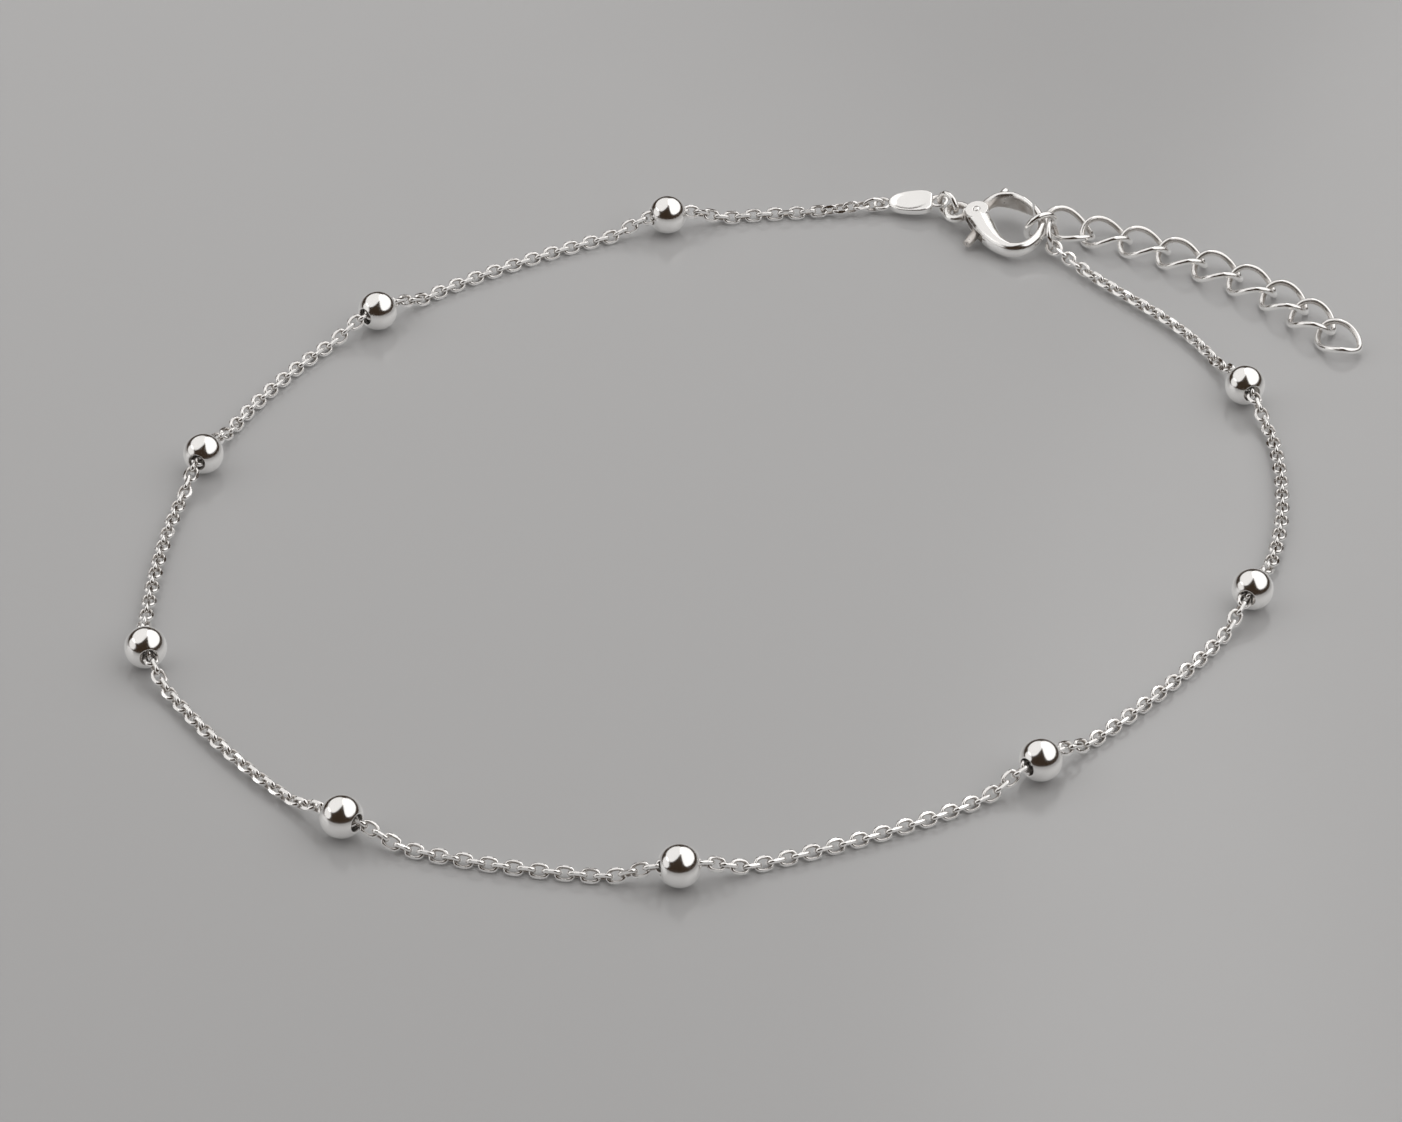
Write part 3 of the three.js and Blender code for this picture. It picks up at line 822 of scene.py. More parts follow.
@dataclass(frozen=True)
class Chain:
    """The fine cable chain: nearly three hundred interlocked oval links and a larger link at each end.

    Attributes:
        length: A link's length over its wire.
        width: A link's width over its wire.
        wire: The wire's diameter.
        depth: How much deeper than wide the wire is.
        bow: How far a link's sides bow out, 1 for an ellipse.
        pitch: How far it is from one link to the next.
        facet: How far from the chain's middle its four sides were planed.
        leans: How far the chain is rolled along each run, in degrees.
        settle: How far from a bead or an end the roll takes to change.
        inset: How far inside each end the first link's middle is.
        seed: Picks how single links are turned out of line.
        shake: How far they usually are, and at most, in degrees.
        shaken: How much of the chain is, from its middle out.
        end_turns: How the end links are turned, in degrees.
        end_lifts: How far the end links hang above the line's ends.
    """

    route: Route = Route()
    length: float = 1.34
    width: float = 1.1
    wire: float = 0.26
    depth: float = 1.2
    bow: float = 0.92
    pitch: float = 0.785
    facet: float = 0.352
    leans: tuple = (-45.0, -45.0, -42.0, 0.0, 0.0, 42.0, 48.0, 45.0, 0.0, 0.0)
    settle: float = 5.0
    inset: float = 0.355
    end_length: float = 1.7
    end_width: float = 1.2
    end_wire: float = 0.3
    end_overlap: float = 0.3
    end_turns: tuple = (90.0, 135.0)
    end_lifts: tuple = (0.04, 0.0)
    seed: int = 7
    shake: tuple = (3.0, 4.0)
    shaken: float = 0.97
    steps: int = 24
    sides: int = 10
    end_steps: int = 40
    end_sides: int = 12
    end_seam: float = 0.08

    def build(self) -> None:
        """Makes the chain as one piece."""
        stations = self.route.spaced(self.inset, self.pitch)
        skin = self._links(stations)
        for first in (True, False):
            skin = self._joined(skin, self._end_link(first))
        Place("chain_links", "cable_chain", Slot.CHAIN, CHAIN_POLISH).publish(skin)
        LOG.info("the chain has %d fine links and two end links", len(stations))

    def _links(self, stations: np.ndarray) -> Skin:
        """Lays the fine links, each a quarter turn from the last and planed on four sides.

        Args:
            stations: The distance along the line to each link's middle.

        Returns:
            The links as one surface.
        """
        count = len(stations)
        random = np.random.default_rng(self.seed)
        steady = np.radians(self._rolls(stations))
        shake = np.clip(random.normal(0.0, self.shake[0], count), -self.shake[1], self.shake[1])
        turn = steady + np.radians(shake) * (np.abs(self._middle(stations)) < self.shaken)
        size = (self.length - self.wire, self.width - self.wire, self.wire)
        link = oval_wire(*size, self.steps, self.sides, bow=self.bow)
        local = link.points * np.array([1.0, 1.0, self.depth])
        planes = np.stack([local[:, 1] + local[:, 2], local[:, 1] - local[:, 2]]) / math.sqrt(2.0)
        planed = (np.abs(planes) > self.facet).any(axis=0)
        planes = np.clip(planes, -self.facet, self.facet)
        wide = (planes[0] + planes[1]) / math.sqrt(2.0)
        deep = (planes[0] - planes[1]) / math.sqrt(2.0)
        sway = np.outer(np.cos(turn), wide) - np.outer(np.sin(turn), deep)
        lift = np.outer(np.sin(turn), wide) + np.outer(np.cos(turn), deep)
        middle = self.route.frames(stations)[0]
        middle[:, 2] += self._stand(steady) * self.route.resting(middle[:, 2])
        along = unit(np.gradient(middle, axis=0))
        left = unit(np.cross(UP, along))
        up = np.cross(along, left)
        points = (
            middle[:, None]
            + along[:, None] * np.broadcast_to(local[:, 0], sway.shape)[..., None]
            + left[:, None] * sway[..., None]
            + up[:, None] * lift[..., None]
        )
        faces = np.array(link.faces)
        cut = np.tile(planed[faces].all(axis=1), count)
        every = (faces[None] + (np.arange(count) * len(local))[:, None, None]).reshape(-1, 4)
        return Skin(points.reshape(-1, 3), every.tolist(), np.tile(link.hollow, count), cut)

    def _stand(self, rolls: np.ndarray) -> np.ndarray:
        """How much higher the chain stands where it isn't lying on a planed side."""
        return self.facet * (math.sqrt(2.0) * np.maximum(np.abs(np.sin(rolls)), np.abs(np.cos(rolls))) - 1.0)

    @staticmethod
    def _middle(stations: np.ndarray) -> np.ndarray:
        """Each station's place from -1 at the start to 1 at the end."""
        return np.interp(stations, (stations[0], stations[-1]), (-1.0, 1.0))

    def _leans(self, stations: np.ndarray) -> np.ndarray:
        """How far the chain is rolled, changing over from run to run near the beads.

        Args:
            stations: Distances along the chain.

        Returns:
            The roll at each of them, in degrees.
        """
        lean = np.full(len(stations), self.leans[0])
        for bead, before, after in zip(self.route.table()[2], self.leans, self.leans[1:]):
            lean += (after - before) * smoothstep(stations, bead - self.settle, bead + self.settle)
        return lean

    def _rolls(self, stations: np.ndarray) -> np.ndarray:
        """How far each link is rolled, so that the outermost are square to the end links.

        Args:
            stations: Distances along the chain.

        Returns:
            The roll of the link at each of them, in degrees.
        """
        number = np.arange(len(stations))
        lean = self._leans(stations)
        first = self.end_turns[0] - 90.0
        last = self.end_turns[1] - 90.0 * (1 + (len(stations) - 1) % 2)
        last -= 180.0 * round((last - lean[-1]) / 180.0)
        near_first = 1 - smoothstep(stations - stations[0], 0.0, self.settle)
        near_last = 1 - smoothstep(stations[-1] - stations, 0.0, self.settle)
        return lean + (first - lean) * near_first + (last - lean) * near_last + 90.0 * (number % 2)

    def _end_link(self, first: bool) -> Skin:
        """The larger link that joins the chain to the tag or to the ring.

        Args:
            first: Whether it is the one at the tag.

        Returns:
            The link's surface.
        """
        plan = self.route.table()[0]
        tip, inner = (plan[0], plan[1]) if first else (plan[-1], plan[-2])
        outward = unit(tip - inner)
        which = 0 if first else 1
        height = (self.route.start, self.route.end)[which][2] + self.end_lifts[which]
        middle = tip + outward * (self.end_length / 2 - self.end_overlap)
        size = (self.end_length - self.end_wire, self.end_width - self.end_wire, self.end_wire)
        link = oval_wire(*size, self.end_steps, self.end_sides, self.end_seam)
        heading = math.degrees(math.atan2(outward[1], outward[0]))
        return link.placed(turned(self.end_turns[which], 0.0, heading), (middle[0], middle[1], height))

    @staticmethod
    def _joined(skin: Skin, more: Skin) -> Skin:
        """Joins two surfaces.

        Args:
            skin: The first.
            more: The second, with no cut faces.

        Returns:
            Both as one.
        """
        start = len(skin.points)
        faces = skin.faces + [[start + i for i in face] for face in more.faces]
        cut = np.concatenate([skin.cut, np.zeros(len(more.faces), dtype=bool)])
        return Skin(np.vstack([skin.points, more.points]), faces, np.append(skin.hollow, more.hollow), cut)


@dataclass(frozen=True)
class Beads:
    """The nine bored balls on the chain.

    Attributes:
        diameter: Across a ball.
        bore: Across its hole.
        rim: The radius of the hole's rounded rim.
        shade_film: How much of the patina and painted shade lines the hole.
    """

    route: Route = Route()
    diameter: float = 2.7
    bore: float = 1.13
    rim: float = 0.06
    shade_film: float = 0.4
    rounds: int = 72
    arc_steps: int = 45
    rim_steps: int = 8
    wall_steps: int = 7

    def build(self) -> None:
        """Makes each ball where the chain carries it."""
        stations = self.route.table()[2]
        places, along = self.route.frames(stations)
        profile, hollow = self._profile()
        ball = lathe(profile, self.rounds, hollow)
        for number, (place, way) in enumerate(zip(places, along), start=1):
            heading = math.degrees(math.atan2(way[1], way[0]))
            skin = ball.placed(turned(0.0, 90.0, heading), tuple(place))
            Place(f"polished_ball_{number}", f"bead_{number}", Slot.BEAD, BALL_POLISH).publish(skin)

    def _profile(self) -> tuple:
        """Draws the ball's section.

        Returns:
            The section's points, and how sheltered each of them is.
        """
        radius, bore, rim = self.diameter / 2, self.bore / 2, self.rim
        height = math.sqrt((radius - rim) ** 2 - (bore + rim) ** 2)
        edge = math.atan2(height, bore + rim)
        outside = np.linspace(-edge, edge, self.arc_steps)
        arc = np.stack([radius * np.cos(outside), radius * np.sin(outside)], axis=1)
        bend = np.linspace(edge, math.pi, self.rim_steps + 1)[1:]
        top = np.stack([bore + rim + rim * np.cos(bend), height + rim * np.sin(bend)], axis=1)
        levels = np.linspace(height, -height, self.wall_steps + 2)[1:-1]
        inside = np.stack([np.full(self.wall_steps, bore), levels], axis=1)
        profile = np.vstack([arc, top, inside, top[::-1] * np.array([1.0, -1.0])])
        # Painted shade with patina lines the bore, fading in from each rim.
        entry = np.linspace(0.0, self.shade_film, self.rim_steps)
        hollow = np.concatenate([np.zeros(len(arc)), entry, np.full(self.wall_steps, self.shade_film), entry[::-1]])
        return profile, hollow


@dataclass(frozen=True)
class EndTag:
    """The bare leaf-shaped tag with an eye at each end.

    Attributes:
        length: Along the leaf.
        width: Across the leaf.
        thickness: The plate's thickness.
        bevel: The radius of its rounded edge.
        dish: How far the middle of the field is sunk.
        dish_edge: Where the dish begins and where it is full, from 0 at the leaf's edge to 1 at its middle.
        nose: Corners of the curve round its front half, as shares of its half length and half width.
        heel: Corners of the curve on to its square end.
        eye_show: How much of each eye stands clear of the leaf.
        eye_shade_film: How far inside an eye's middle line its patina and painted shade are full.
        roll: How far it is rolled towards the front, in degrees.
        rise: How far it is tipped up towards the clasp, in degrees.
    """

    length: float = 3.2
    width: float = 2.4
    thickness: float = 0.5
    bevel: float = 0.12
    dish: float = 0.07
    dish_edge: tuple = (0.15, 0.7)
    nose: tuple = ((-1.0, 0.0), (-1.0, -0.75), (-0.2, -1.0), (0.45, -1.0))
    heel: tuple = ((0.45, -1.0), (0.9, -0.95), (1.0, -0.55))
    edge_steps: int = 24
    end_steps: int = 8
    bevel_steps: int = 6
    eye_radius: float = 0.56
    eye_wire: float = 0.3
    eye_show: float = 0.8
    eye_shade_film: float = 0.2
    eye_steps: int = 48
    eye_sides: int = 16
    voxel: float = 0.03
    smoothing: int = 6
    place: tuple = (10.4, 39.05, 0.82)
    roll: float = 8.0
    rise: float = 6.0
    yaw: float = -5.0

    def build(self) -> None:
        """Makes the tag with its eyes."""
        bench = Bench(self._plate())
        across = 2 * self.eye_radius
        eye = oval_wire(across, across, self.eye_wire, self.eye_steps, self.eye_sides)
        for side in (-1, 1):
            shift = side * (self.length / 2 + self.eye_radius * self.eye_show)
            bench.use(eye.moved((shift, 0.0, 0.0)), Cut.ADD)
        skin = bench.cast(self.voxel, self.smoothing).finish(self._sheltered)
        skin.points[:, 2] -= self._sunk(skin.points)
        skin = skin.placed(turned(self.roll, -self.rise, self.yaw), self.place)
        Place("tag_plate", "end_tag", Slot.TAG, PLATE_POLISH).publish(skin)

    def eye(self) -> Vector:
        """Finds the middle of the eye at the clasp's side.

        Returns:
            Its place.
        """
        way = Vector((self.length / 2 + self.eye_radius * self.eye_show, 0.0, 0.0))
        way.rotate(turned(0.0, -self.rise, self.yaw))
        return Vector(self.place) + way

    def _sunk(self, points: np.ndarray) -> np.ndarray:
        """Finds the dish in the upper face.

        Args:
            points: The plate's points.

        Returns:
            How far each goes down.
        """
        inside = 1 - (2 * points[:, 0] / self.length) ** 2 - (2 * points[:, 1] / self.width) ** 2
        upper = smoothstep(points[:, 2], 0.0, self.thickness / 2)
        return self.dish * smoothstep(inside, *self.dish_edge) * upper

    def _sheltered(self, points: np.ndarray) -> np.ndarray:
        """Painted shade with patina gathers inside the eyes."""
        reach = np.abs(points[:, 0]) - self.length / 2 - self.eye_radius * self.eye_show
        return smoothstep(-np.hypot(reach, points[:, 1]), -self.eye_radius, -self.eye_radius + self.eye_shade_film)

    def _outline(self) -> np.ndarray:
        """Draws the leaf's edge, from its rounded nose round to its square end and back.

        Returns:
            The edge's points.
        """
        size = np.array([self.length / 2, self.width / 2])
        nose, heel = np.array(self.nose) * size, np.array(self.heel) * size
        share = np.linspace(0.0, 1.0, self.edge_steps)[:, None]
        left = 1 - share
        front = np.hstack([left**3, 3 * share * left**2, 3 * share**2 * left, share**3]) @ nose
        back = np.hstack([left**2, 2 * share * left, share**2]) @ heel
        lower = np.vstack([front, back[1:]])
        across = np.linspace(heel[-1, 1], -heel[-1, 1], self.end_steps + 2)[1:-1]
        end = np.stack([np.full(self.end_steps, heel[-1, 0]), across], axis=1)
        return np.vstack([lower, end, lower[:0:-1] * np.array([1.0, -1.0])])

    def _plate(self) -> Skin:
        """Makes the leaf with a rounded edge.

        Returns:
            The leaf's surface.
        """
        edge = self._outline()
        along = unit(np.roll(edge, -1, axis=0) - np.roll(edge, 1, axis=0))
        inward = np.stack([-along[:, 1], along[:, 0]], axis=1)
        half, bevel = self.thickness / 2, self.bevel
        bend = np.linspace(0.0, math.pi / 2, self.bevel_steps)
        sides = [(bevel * (1 - math.sin(a)), -half + bevel * (1 - math.cos(a))) for a in bend]
        sides += [(bevel * (1 - math.cos(a)), half - bevel * (1 - math.sin(a))) for a in bend]
        count = len(edge)
        rows = [np.column_stack([edge + inward * inset, np.full(count, level)]) for inset, level in sides]
        points = np.vstack(rows)
        return Skin(points, capped_faces(len(rows), count), np.zeros(len(points)))


@dataclass(frozen=True)
class Clasp:
    """The lobster claw: cast hook with eye and cheeks, sprung lever and rivet.

    Places in its plane are along U, from its eye to its bight, and along V, from the hook to the gate.

    Attributes:
        place: Where its plane's origin is.
        hook: Rows for the body's limb.
        gate: Rows for the lever's limb.
        tab: Rows for the thumb tab.
        reach: How far from the pivot the gate ends.
        reach_gap: How much further out the hook's tip begins.
        slot_low: The lowest corner of the slot for the lever.
        slot_high: Its highest corner.
        tip_low: The lowest corner of the box that the hook's tip is trimmed in.
        tip_high: Its highest corner.
        bight: The middle of the space that hook and gate close in.
        slot_shade_film: Where the slot's patina and painted shade start and end fading, from the pivot and
            from the plane.
        eye_shade_film: How far inside the eye's middle line its patina and painted shade are full.
        gate_shade_film: How far in from the gate's middle line its patina and painted shade begin and are
            full.
        gate_shade_film_depth: How dense that patina and painted shade are.
        gate_wall: Where along the gate its inner wall begins, from 0 at the pivot to 1 at its end.
        tool_half: Half of the height of the tools that bore and trim.
    """

    place: tuple = (17.854, 34.874, 1.388)
    tilt: float = 14.0
    pitch: float = -3.9
    heading: float = -29.0
    eye_place: tuple = (-4.85, 0.1)
    eye_radius: float = 0.74
    eye_wire: float = 0.56
    pivot: tuple = (-3.2, 0.15)
    pin_radius: float = 0.24
    bore_clearance: float = 0.07
    rivet_gap: float = 0.02
    hub_radius: float = 0.5
    hub_half: float = 0.3
    cheek_radius: float = 0.84
    cheek_half: float = 0.72
    pin_proud: float = 0.06
    slot_low: tuple = (-3.85, -3.0, -0.4)
    slot_high: tuple = (-1.75, 2.2, 0.4)
    tip_low: tuple = (-0.6, 1.15, -1.0)
    tip_high: tuple = (1.2, 3.0, 1.0)
    reach: float = 4.0
    reach_gap: float = 0.12
    hook: tuple = (
        (-4.3, 0.15, 0.45, 0.46),
        (-3.6, 0.15, 0.84, 0.68),
        (-2.9, -0.3, 0.94, 0.76),
        (-2.1, -1.05, 0.86, 0.78),
        (-1.2, -1.75, 0.7, 0.74),
        (-0.3, -2.25, 0.55, 0.68),
        (0.7, -2.42, 0.46, 0.6),
        (1.5, -1.97, 0.4, 0.52),
        (1.93, -1.0, 0.36, 0.47),
        (1.9, 0.0, 0.33, 0.45),
        (1.55, 0.85, 0.33, 0.45),
        (1.05, 1.45, 0.32, 0.45),
        (0.4, 2.0, 0.3, 0.44),
    )
    gate: tuple = (
        (-3.2, 0.25, 0.5, 0.3, 0.0),
        (-3.05, 1.4, 0.46, 0.34, 0.0),
        (-2.6, 2.2, 0.4, 0.6, 0.1),
        (-1.65, 2.62, 0.36, 0.84, 0.3),
        (-0.55, 2.42, 0.34, 0.8, 0.28),
        (0.7, 1.75, 0.3, 0.5, 0.06),
    )
    tab: tuple = (
        (-2.95, -0.2, 0.36, 0.29),
        (-2.55, -1.5, 0.36, 0.31),
        (-2.6, -2.3, 0.36, 0.31),
        (-2.7, -2.85, 0.3, 0.27),
    )
    nub_place: tuple = (-2.4, 2.4)
    nub_reach: float = 0.8
    nub_radius: float = 0.38
    nub_taper: float = 0.68
    bight: tuple = (-0.5, 0.2)
    slot_shade_film: tuple = ((0.6, 1.8), (0.34, 0.5))
    eye_shade_film: float = 0.25
    gate_shade_film: tuple = (0.12, 0.3)
    gate_shade_film_depth: float = 0.85
    gate_wall: float = 0.35
    wall_steps: int = 60
    dome_height: float = 0.09
    dome_tip: float = 0.002
    dome_steps: int = 8
    tool_half: float = 2.0
    tool_sides: int = 192
    eye_steps: int = 56
    eye_sides: int = 20
    cheek_sides: int = 64
    nub_sides: int = 32
    hook_steps: int = 120
    gate_steps: int = 60
    limb_sides: int = 28
    tab_steps: int = 30
    tab_sides: int = 20
    pin_sides: int = 40
    voxel: float = 0.04
    smoothing: int = 5

    def build(self) -> None:
        """Makes the body, the lever and the pin."""
        pieces = (
            (Place("claw_body", "clasp_body", Slot.CLASP, CAST_POLISH), self._body()),
            (Place("claw_lever", "clasp_lever", Slot.CLASP, CAST_POLISH, Body.LEVER), self._lever()),
            (Place("claw_rivet", "clasp_pin", Slot.CLASP, CAST_POLISH), self._pin()),
        )
        for piece, skin in pieces:
            piece.publish(skin.placed(self._turn(), self.place))

    def eye(self) -> Vector:
        """Finds the middle of the claw's eye.

        Returns:
            Its place.
        """
        way = Vector((self.eye_place[0], self.eye_place[1], 0.0))
        way.rotate(self._turn())
        return Vector(self.place) + way

    def _turn(self) -> Euler:
        """How the claw lies."""
        return turned(self.tilt, self.pitch, self.heading)

    def _sheltered(self, points: np.ndarray) -> np.ndarray:
        """Painted shade with patina gathers in the slot, round the pivot and inside the eye.

        Args:
            points: A casting's points.

        Returns:
            How sheltered each of them is.
        """
        pivot = np.hypot(points[:, 0] - self.pivot[0], points[:, 1] - self.pivot[1])
        near, level = self.slot_shade_film
        slot = (1 - smoothstep(pivot, *near)) * (1 - smoothstep(np.abs(points[:, 2]), *level))
        eye = np.hypot(points[:, 0] - self.eye_place[0], points[:, 1] - self.eye_place[1])
        return np.maximum(slot, 1 - smoothstep(eye, self.eye_radius - self.eye_shade_film, self.eye_radius))

    def _gate_sheltered(self, points: np.ndarray) -> np.ndarray:
        """Painted shade with patina gathers on the gate's inner wall as well.

        Args:
            points: The lever's points.

        Returns:
            How sheltered each of them is.
        """
        middle = spline(np.array(self.gate)[:, :2], np.linspace(self.gate_wall, 1.0, self.wall_steps))
        away = points[:, None, :2] - middle
        nearest = np.argmin(np.linalg.norm(away, axis=2), axis=1)
        inward = unit(np.array(self.bight) - middle)[nearest]
        depth = np.sum(away[np.arange(len(points)), nearest] * inward, axis=1)
        # Painted shade with patina on the gate's inner wall, which faces the bight.
        shade_film = self.gate_shade_film_depth * smoothstep(depth, *self.gate_shade_film)
        return np.maximum(self._sheltered(points), shade_film)

    def _body(self) -> Skin:
        """Casts the hook with its eye and cheeks, slotted, bored and trimmed at its tip.

        Returns:
            The body's surface.
        """
        across = 2 * self.eye_radius
        eye = oval_wire(across, across, self.eye_wire, self.eye_steps, self.eye_sides)
        bore = drum(self.pivot, self.pin_radius + self.rivet_gap, 2 * self.cheek_half)
        sweep = drum(self.pivot, self.reach + self.reach_gap, self.tool_half, self.tool_sides)
        trim = Bench(block(self.tip_low, self.tip_high)).use(sweep, Cut.KEEP).finish()
        bench = Bench(limb(self.hook, self.hook_steps, self.limb_sides))
        bench.use(eye.moved((*self.eye_place, 0.0)), Cut.ADD)
        bench.use(drum(self.pivot, self.cheek_radius, self.cheek_half, self.cheek_sides), Cut.ADD)
        bench.use(block(self.slot_low, self.slot_high), Cut.REMOVE)
        bench.use(bore, Cut.REMOVE)
        bench.use(trim, Cut.REMOVE)
        return bench.cast(self.voxel, self.smoothing).finish(self._sheltered)

    def _lever(self) -> Skin:
        """Casts the gate with its grip nub, hub and thumb tab, bored for the pin.

        Returns:
            The lever's surface.
        """
        nub = drum((0.0, 0.0), self.nub_radius, self.nub_reach / 2, self.nub_sides, self.nub_taper)
        middle = (self.nub_place[0], self.nub_place[1] + self.nub_reach / 2, 0.0)
        bore = drum(self.pivot, self.pin_radius + self.bore_clearance, self.tool_half)
        bench = Bench(limb(self.gate, self.gate_steps, self.limb_sides))
        bench.use(nub.placed(turned(-90.0, 0.0, 0.0), middle), Cut.ADD)
        bench.use(limb(self.tab, self.tab_steps, self.tab_sides), Cut.ADD)
        bench.use(drum(self.pivot, self.hub_radius, self.hub_half), Cut.ADD)
        bench.use(bore, Cut.REMOVE)
        bench.use(drum(self.pivot, self.reach, self.tool_half, self.tool_sides), Cut.KEEP)
        return bench.cast(self.voxel, self.smoothing).finish(self._gate_sheltered)

    def _pin(self) -> Skin:
        """Turns the rivet, with a low dome on each end.

        Returns:
            The rivet's surface.
        """
        half = self.cheek_half + self.pin_proud
        dome = np.linspace(0.0, math.pi / 2, self.dome_steps)
        levels = half - self.dome_height * (1 - np.sin(dome))
        cap = np.stack([self.pin_radius * np.cos(dome), levels], axis=1)
        cap[-1, 0] = self.dome_tip
        profile = np.vstack([cap[::-1] * np.array([1.0, -1.0]), cap])
        return lathe(profile, self.pin_sides, np.zeros(len(profile))).moved((*self.pivot, 0.0))


@dataclass(frozen=True)
class Ring:
    """A soldered round ring that stands on the table, turned to a heading and leaned over.

    Attributes:
        name: The piece's name.
        node: The solid that it stands for.
        radius: The radius of its middle line.
        wire: The wire's diameter.
        x: Where its middle is along X.
        y: Where its middle is along Y.
        heading: How its face is turned, in degrees.
        lean: How far it is leaned over, in degrees.
        seam: How much the wire narrows where it was soldered.
    """

    name: str
    node: str
    radius: float
    wire: float
    x: float
    y: float
    heading: float
    lean: float
    seam: float = 0.07
    steps: int = 112
    sides: int = 18

    def build(self) -> None:
        """Makes the ring."""
        loop = oval_wire(2 * self.radius, 2 * self.radius, self.wire, self.steps, self.sides, self.seam)
        height = self.radius * math.cos(math.radians(self.lean)) + self.wire / 2 + TABLE_GAP
        skin = loop.placed(turned(90.0 + self.lean, 0.0, self.heading), (self.x, self.y, height))
        Place(self.name, self.node, Slot.RING, RING_POLISH).publish(skin)

    @classmethod
    def all(cls, tag_eye: Vector, clasp_eye: Vector) -> tuple:
        """The three rings, the first midway between the two eyes.

        Args:
            tag_eye: The middle of the tag's eye.
            clasp_eye: The middle of the claw's eye.

        Returns:
            The rings.
        """
        way, middle = clasp_eye - tag_eye, (clasp_eye + tag_eye) / 2
        heading = math.degrees(math.atan2(way.y, way.x))
        return (
            cls("ring_at_tag", "tag_ring", 0.91, 0.42, x=middle.x, y=middle.y, heading=heading, lean=0.0),
            cls("ring_in_claw", "joining_ring", 1.115, 0.46, x=19.525, y=34.885, heading=26.7, lean=15.0),
            cls("ring_at_chain", "chain_ring", 1.0, 0.36, x=20.372, y=33.848, heading=77.5, lean=-18.4),
        )


@dataclass(frozen=True)
class CurbLink:
    """One twisted oval link of the extender.

    Attributes:
        half_length: Half of its middle line's length.
        half_width: Half of its middle line's width.
        inner_twist: How far the end towards the clasp is turned, in degrees.
        outer_twist: How far the other end is turned back.
        dip: How far it is tipped, in degrees.
        seam: How much the wire narrows where it was soldered.
        seam_angle: Where that is, in radians round the link.
        seam_spread: How far it spreads, in radians.
    """

    half_length: float = 1.79
    half_width: float = 1.5
    wire: float = 0.43
    inner_twist: float = 42.0
    outer_twist: float = 42.0
    dip: float = 0.0
    seam: float = 0.06
    seam_angle: float = 4.4
    seam_spread: float = 0.05
    steps: int = 96
    sides: int = 16

    def skin(self) -> Skin:
        """Bends the link about its own middle.

        Returns:
            The link's surface.
        """
        angle = round_angles(self.steps)
        reach = self.half_width * np.sin(angle)
        share = (1 + np.cos(angle)) / 2
        turn = np.radians(self.inner_twist * (1 - share) - self.outer_twist * share)
        along = self.half_length * np.cos(angle)
        line = np.stack([along, reach * np.cos(turn), reach * np.sin(turn)], axis=1)
        away = self.half_length * np.sin(angle)
        out = np.stack([self.half_width * np.cos(angle), away * np.cos(turn), away * np.sin(turn)], axis=1)
        seam = 1 - self.seam * np.exp(-(((angle - self.seam_angle) / self.seam_spread) ** 2))
        loop = wire_loop(line, out, self.wire / 2 * seam, self.sides)
        return loop.placed(turned(0.0, self.dip, 0.0), (0.0, 0.0, 0.0))


@dataclass(frozen=True)
class Extender:
    """The extender chain of nine twisted links, the first held by the two rings.

    Attributes:
        arc: Plan points that the links' middles follow, from the second link on.
        first_place: Where the first link's middle is.
        first_turn: How it is rolled, pitched and headed, in degrees.
        samples: How finely the arc is measured.
    """

    arc: tuple = ((21.55, 36.1), (29.0, 31.95), (35.8, 26.2), (39.45, 20.8))
    links: int = 9
    first: CurbLink = CurbLink(inner_twist=17.8)
    plain: CurbLink = CurbLink()
    last: CurbLink = CurbLink(half_length=1.75, half_width=1.32, outer_twist=16.0, dip=2.0)
    first_place: tuple = (21.608, 35.293, 1.047)
    first_turn: tuple = (17.4, 14.9, -23.6)
    samples: int = 2000

    def build(self) -> None:
        """Makes the links one after another."""
        samples = spline(np.array(self.arc), np.linspace(0.0, 1.0, self.samples + 1))
        reached = distances(samples)
        self._publish(1, self.first.skin().placed(turned(*self.first_turn), self.first_place))
        for number in range(2, self.links + 1):
            station = reached[-1] * (number - 1) / (self.links - 1)
            index = int(np.searchsorted(reached, min(station, reached[-1] - 1e-6)))
            way = samples[min(index + 1, self.samples)] - samples[max(index - 1, 0)]
            link = (self.last if number == self.links else self.plain).skin()
            heading = math.degrees(math.atan2(way[1], way[0]))
            spot = (samples[index][0], samples[index][1], -float(link.points[:, 2].min()))
            self._publish(number, link.placed(turned(0.0, 0.0, heading), spot))

    @staticmethod
    def _publish(number: int, skin: Skin) -> None:
        """Adds one link to the scene."""
        Place(f"curb_link_{number}", f"extender_link_{number}", Slot.EXTENDER, LINK_POLISH).publish(skin)


@dataclass(frozen=True)
class Panel:
    """A soft light panel: its middle and size in metres, its turn in degrees and its brightness."""

    name: str
    place: tuple
    size: tuple
    turn: tuple
    radiance: float
    tint: tuple = (1.0, 0.996, 0.99)

    def build(self) -> None:
        """Hangs the panel."""
        lamp = bpy.data.lights.new(self.name, "AREA")
        lamp.shape = "ELLIPSE"
        lamp.size, lamp.size_y = self.size
        lamp.energy = self.radiance * math.pi**2 / 4 * self.size[0] * self.size[1]
        lamp.color = self.tint
        holder = bpy.data.objects.new(self.name, lamp)
        holder.location = self.place
        holder.rotation_euler = turned(*self.turn)
        bpy.context.scene.collection.objects.link(holder)


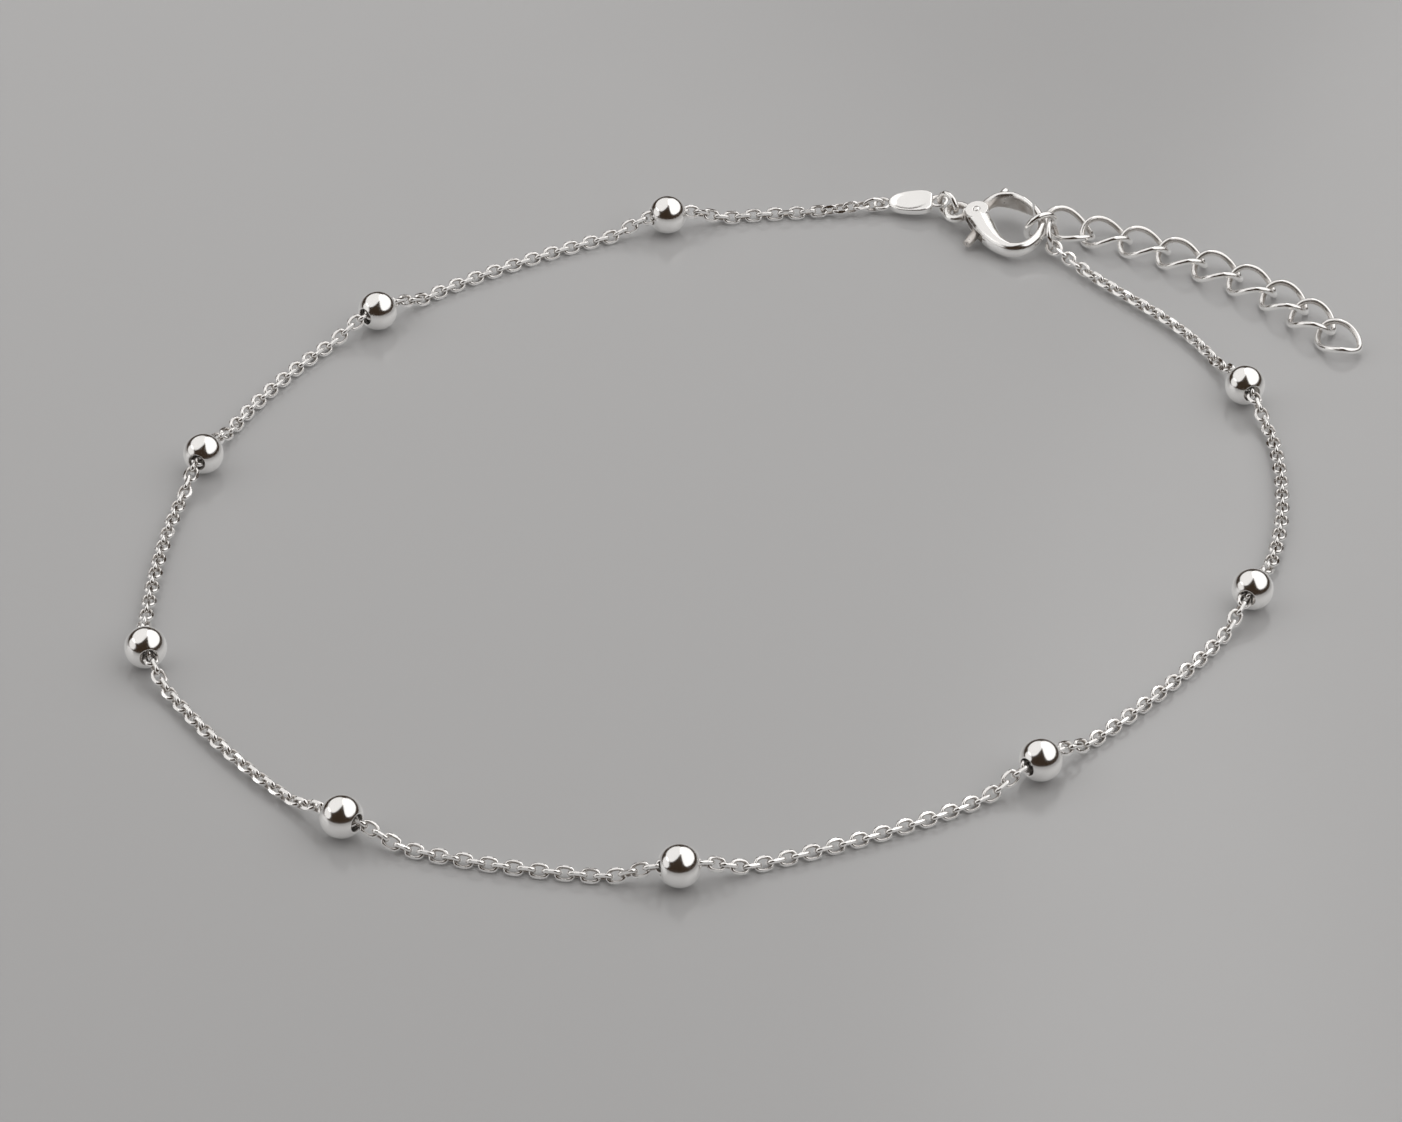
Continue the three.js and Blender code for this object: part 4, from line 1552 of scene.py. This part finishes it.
@dataclass(frozen=True)
class Studio:
    """The pale table, the soft lights round it and the camera at the photograph's angle.

    Attributes:
        table_gloss: The table's specular level.
        table_polish: Its roughness, from its cleanest patches to its dullest.
        table_cloud: The scale and detail of those patches.
        table_bounce: How much brighter it is in the silver than to the eye.
        table_half: Half of its side, in metres.
        camera_place: Where the camera stands, in millimetres.
        camera_pitch: How far it looks up from straight down, in degrees.
        lens: Its focal length, on a sensor of that width, in millimetres.
        nearest: How near it sees, in metres.
    """

    panels: tuple = (
        Panel("ceiling_right", (0.7, 0.3, 0.45), (1.34, 2.05), (0.0, 0.0, 0.0), 1.1),
        Panel("ceiling_left", (-0.4, 0.46, 0.46), (1.05, 1.5), (0.0, 0.0, 0.0), 0.85),
        Panel("panel_left", (-0.55, -0.06, 0.2), (0.38, 0.58), (0.0, -90.0, 0.0), 0.8),
    )
    surroundings: tuple = (0.035, 0.023, 0.015, 1.0)
    table_tint: tuple = (0.515, 0.516, 0.519, 1.0)
    table_gloss: float = 0.35
    table_polish: tuple = (0.13, 0.2)
    table_cloud: tuple = (60.0, 2.0)
    table_bounce: float = 0.13
    table_half: float = 1.6
    camera_place: tuple = (-4.577, -301.680, 203.806)
    camera_pitch: float = 55.52
    lens: float = 141.23
    sensor: float = 36.0
    nearest: float = 0.01

    def build(self) -> None:
        """Sets the table, the lights and the camera."""
        self._table()
        for panel in self.panels:
            panel.build()
        self._world()
        self._camera()

    def _table(self) -> None:
        """A plain pale table with a faint polish, which throws a little more light up at the silver."""
        half = self.table_half
        mesh = bpy.data.meshes.new("table")
        corners = [(-half, -half, 0), (half, -half, 0), (half, half, 0), (-half, half, 0)]
        mesh.from_pydata(corners, [], [(0, 1, 2, 3)])
        mesh.materials.append(self._table_top())
        table = bpy.data.objects.new("table", mesh)
        bpy.context.scene.collection.objects.link(table)

    def _table_top(self) -> bpy.types.Material:
        """Makes the table's faint polish and its bounce.

        Returns:
            The material.
        """
        material = bpy.data.materials.new("pale_table")
        material.use_nodes = True
        wiring = Wiring(material.node_tree)
        place = wiring.new("ShaderNodeTexCoord", {}).outputs["Object"]
        ray = wiring.new("ShaderNodeLightPath", {}).outputs["Is Glossy Ray"]
        surface = {
            "Base Color": self.table_tint,
            "Specular IOR Level": self.table_gloss,
            "Roughness": wiring.remap(wiring.noise(place, *self.table_cloud), (0.0, 1.0), self.table_polish),
            "Emission Strength": wiring.math("MULTIPLY", ray, self.table_bounce),
        }
        wiring.feed(material.node_tree.nodes["Principled BSDF"], surface)
        return material

    def _world(self) -> None:
        """Dim brown surroundings, which the silver shows as dark patches."""
        world = bpy.data.worlds.new("surroundings")
        world.use_nodes = True
        world.node_tree.nodes["Background"].inputs["Color"].default_value = self.surroundings
        bpy.context.scene.world = world

    def _camera(self) -> None:
        """The camera at the photograph's angle."""
        eye = bpy.data.cameras.new("camera")
        eye.lens = self.lens
        eye.sensor_width = self.sensor
        eye.clip_start = self.nearest
        holder = bpy.data.objects.new("camera", eye)
        holder.location = Vector(self.camera_place) * MM
        holder.rotation_euler = turned(self.camera_pitch, 0.0, 0.0)
        scene = bpy.context.scene
        scene.collection.objects.link(holder)
        scene.camera = holder
        scene.view_settings.view_transform = "Standard"


def main() -> None:
    """Builds every part of the anklet in order, logging the face count of each piece."""
    logging.basicConfig(level=logging.INFO, format="%(name)s: %(message)s")
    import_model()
    Studio().build()
    route = Route()
    Chain(route).build()
    Beads(route).build()
    tag, clasp = EndTag(), Clasp()
    tag.build()
    clasp.build()
    for ring in Ring.all(tag.eye(), clasp.eye()):
        ring.build()
    Extender().build()


if __name__ == "__main__":
    main()
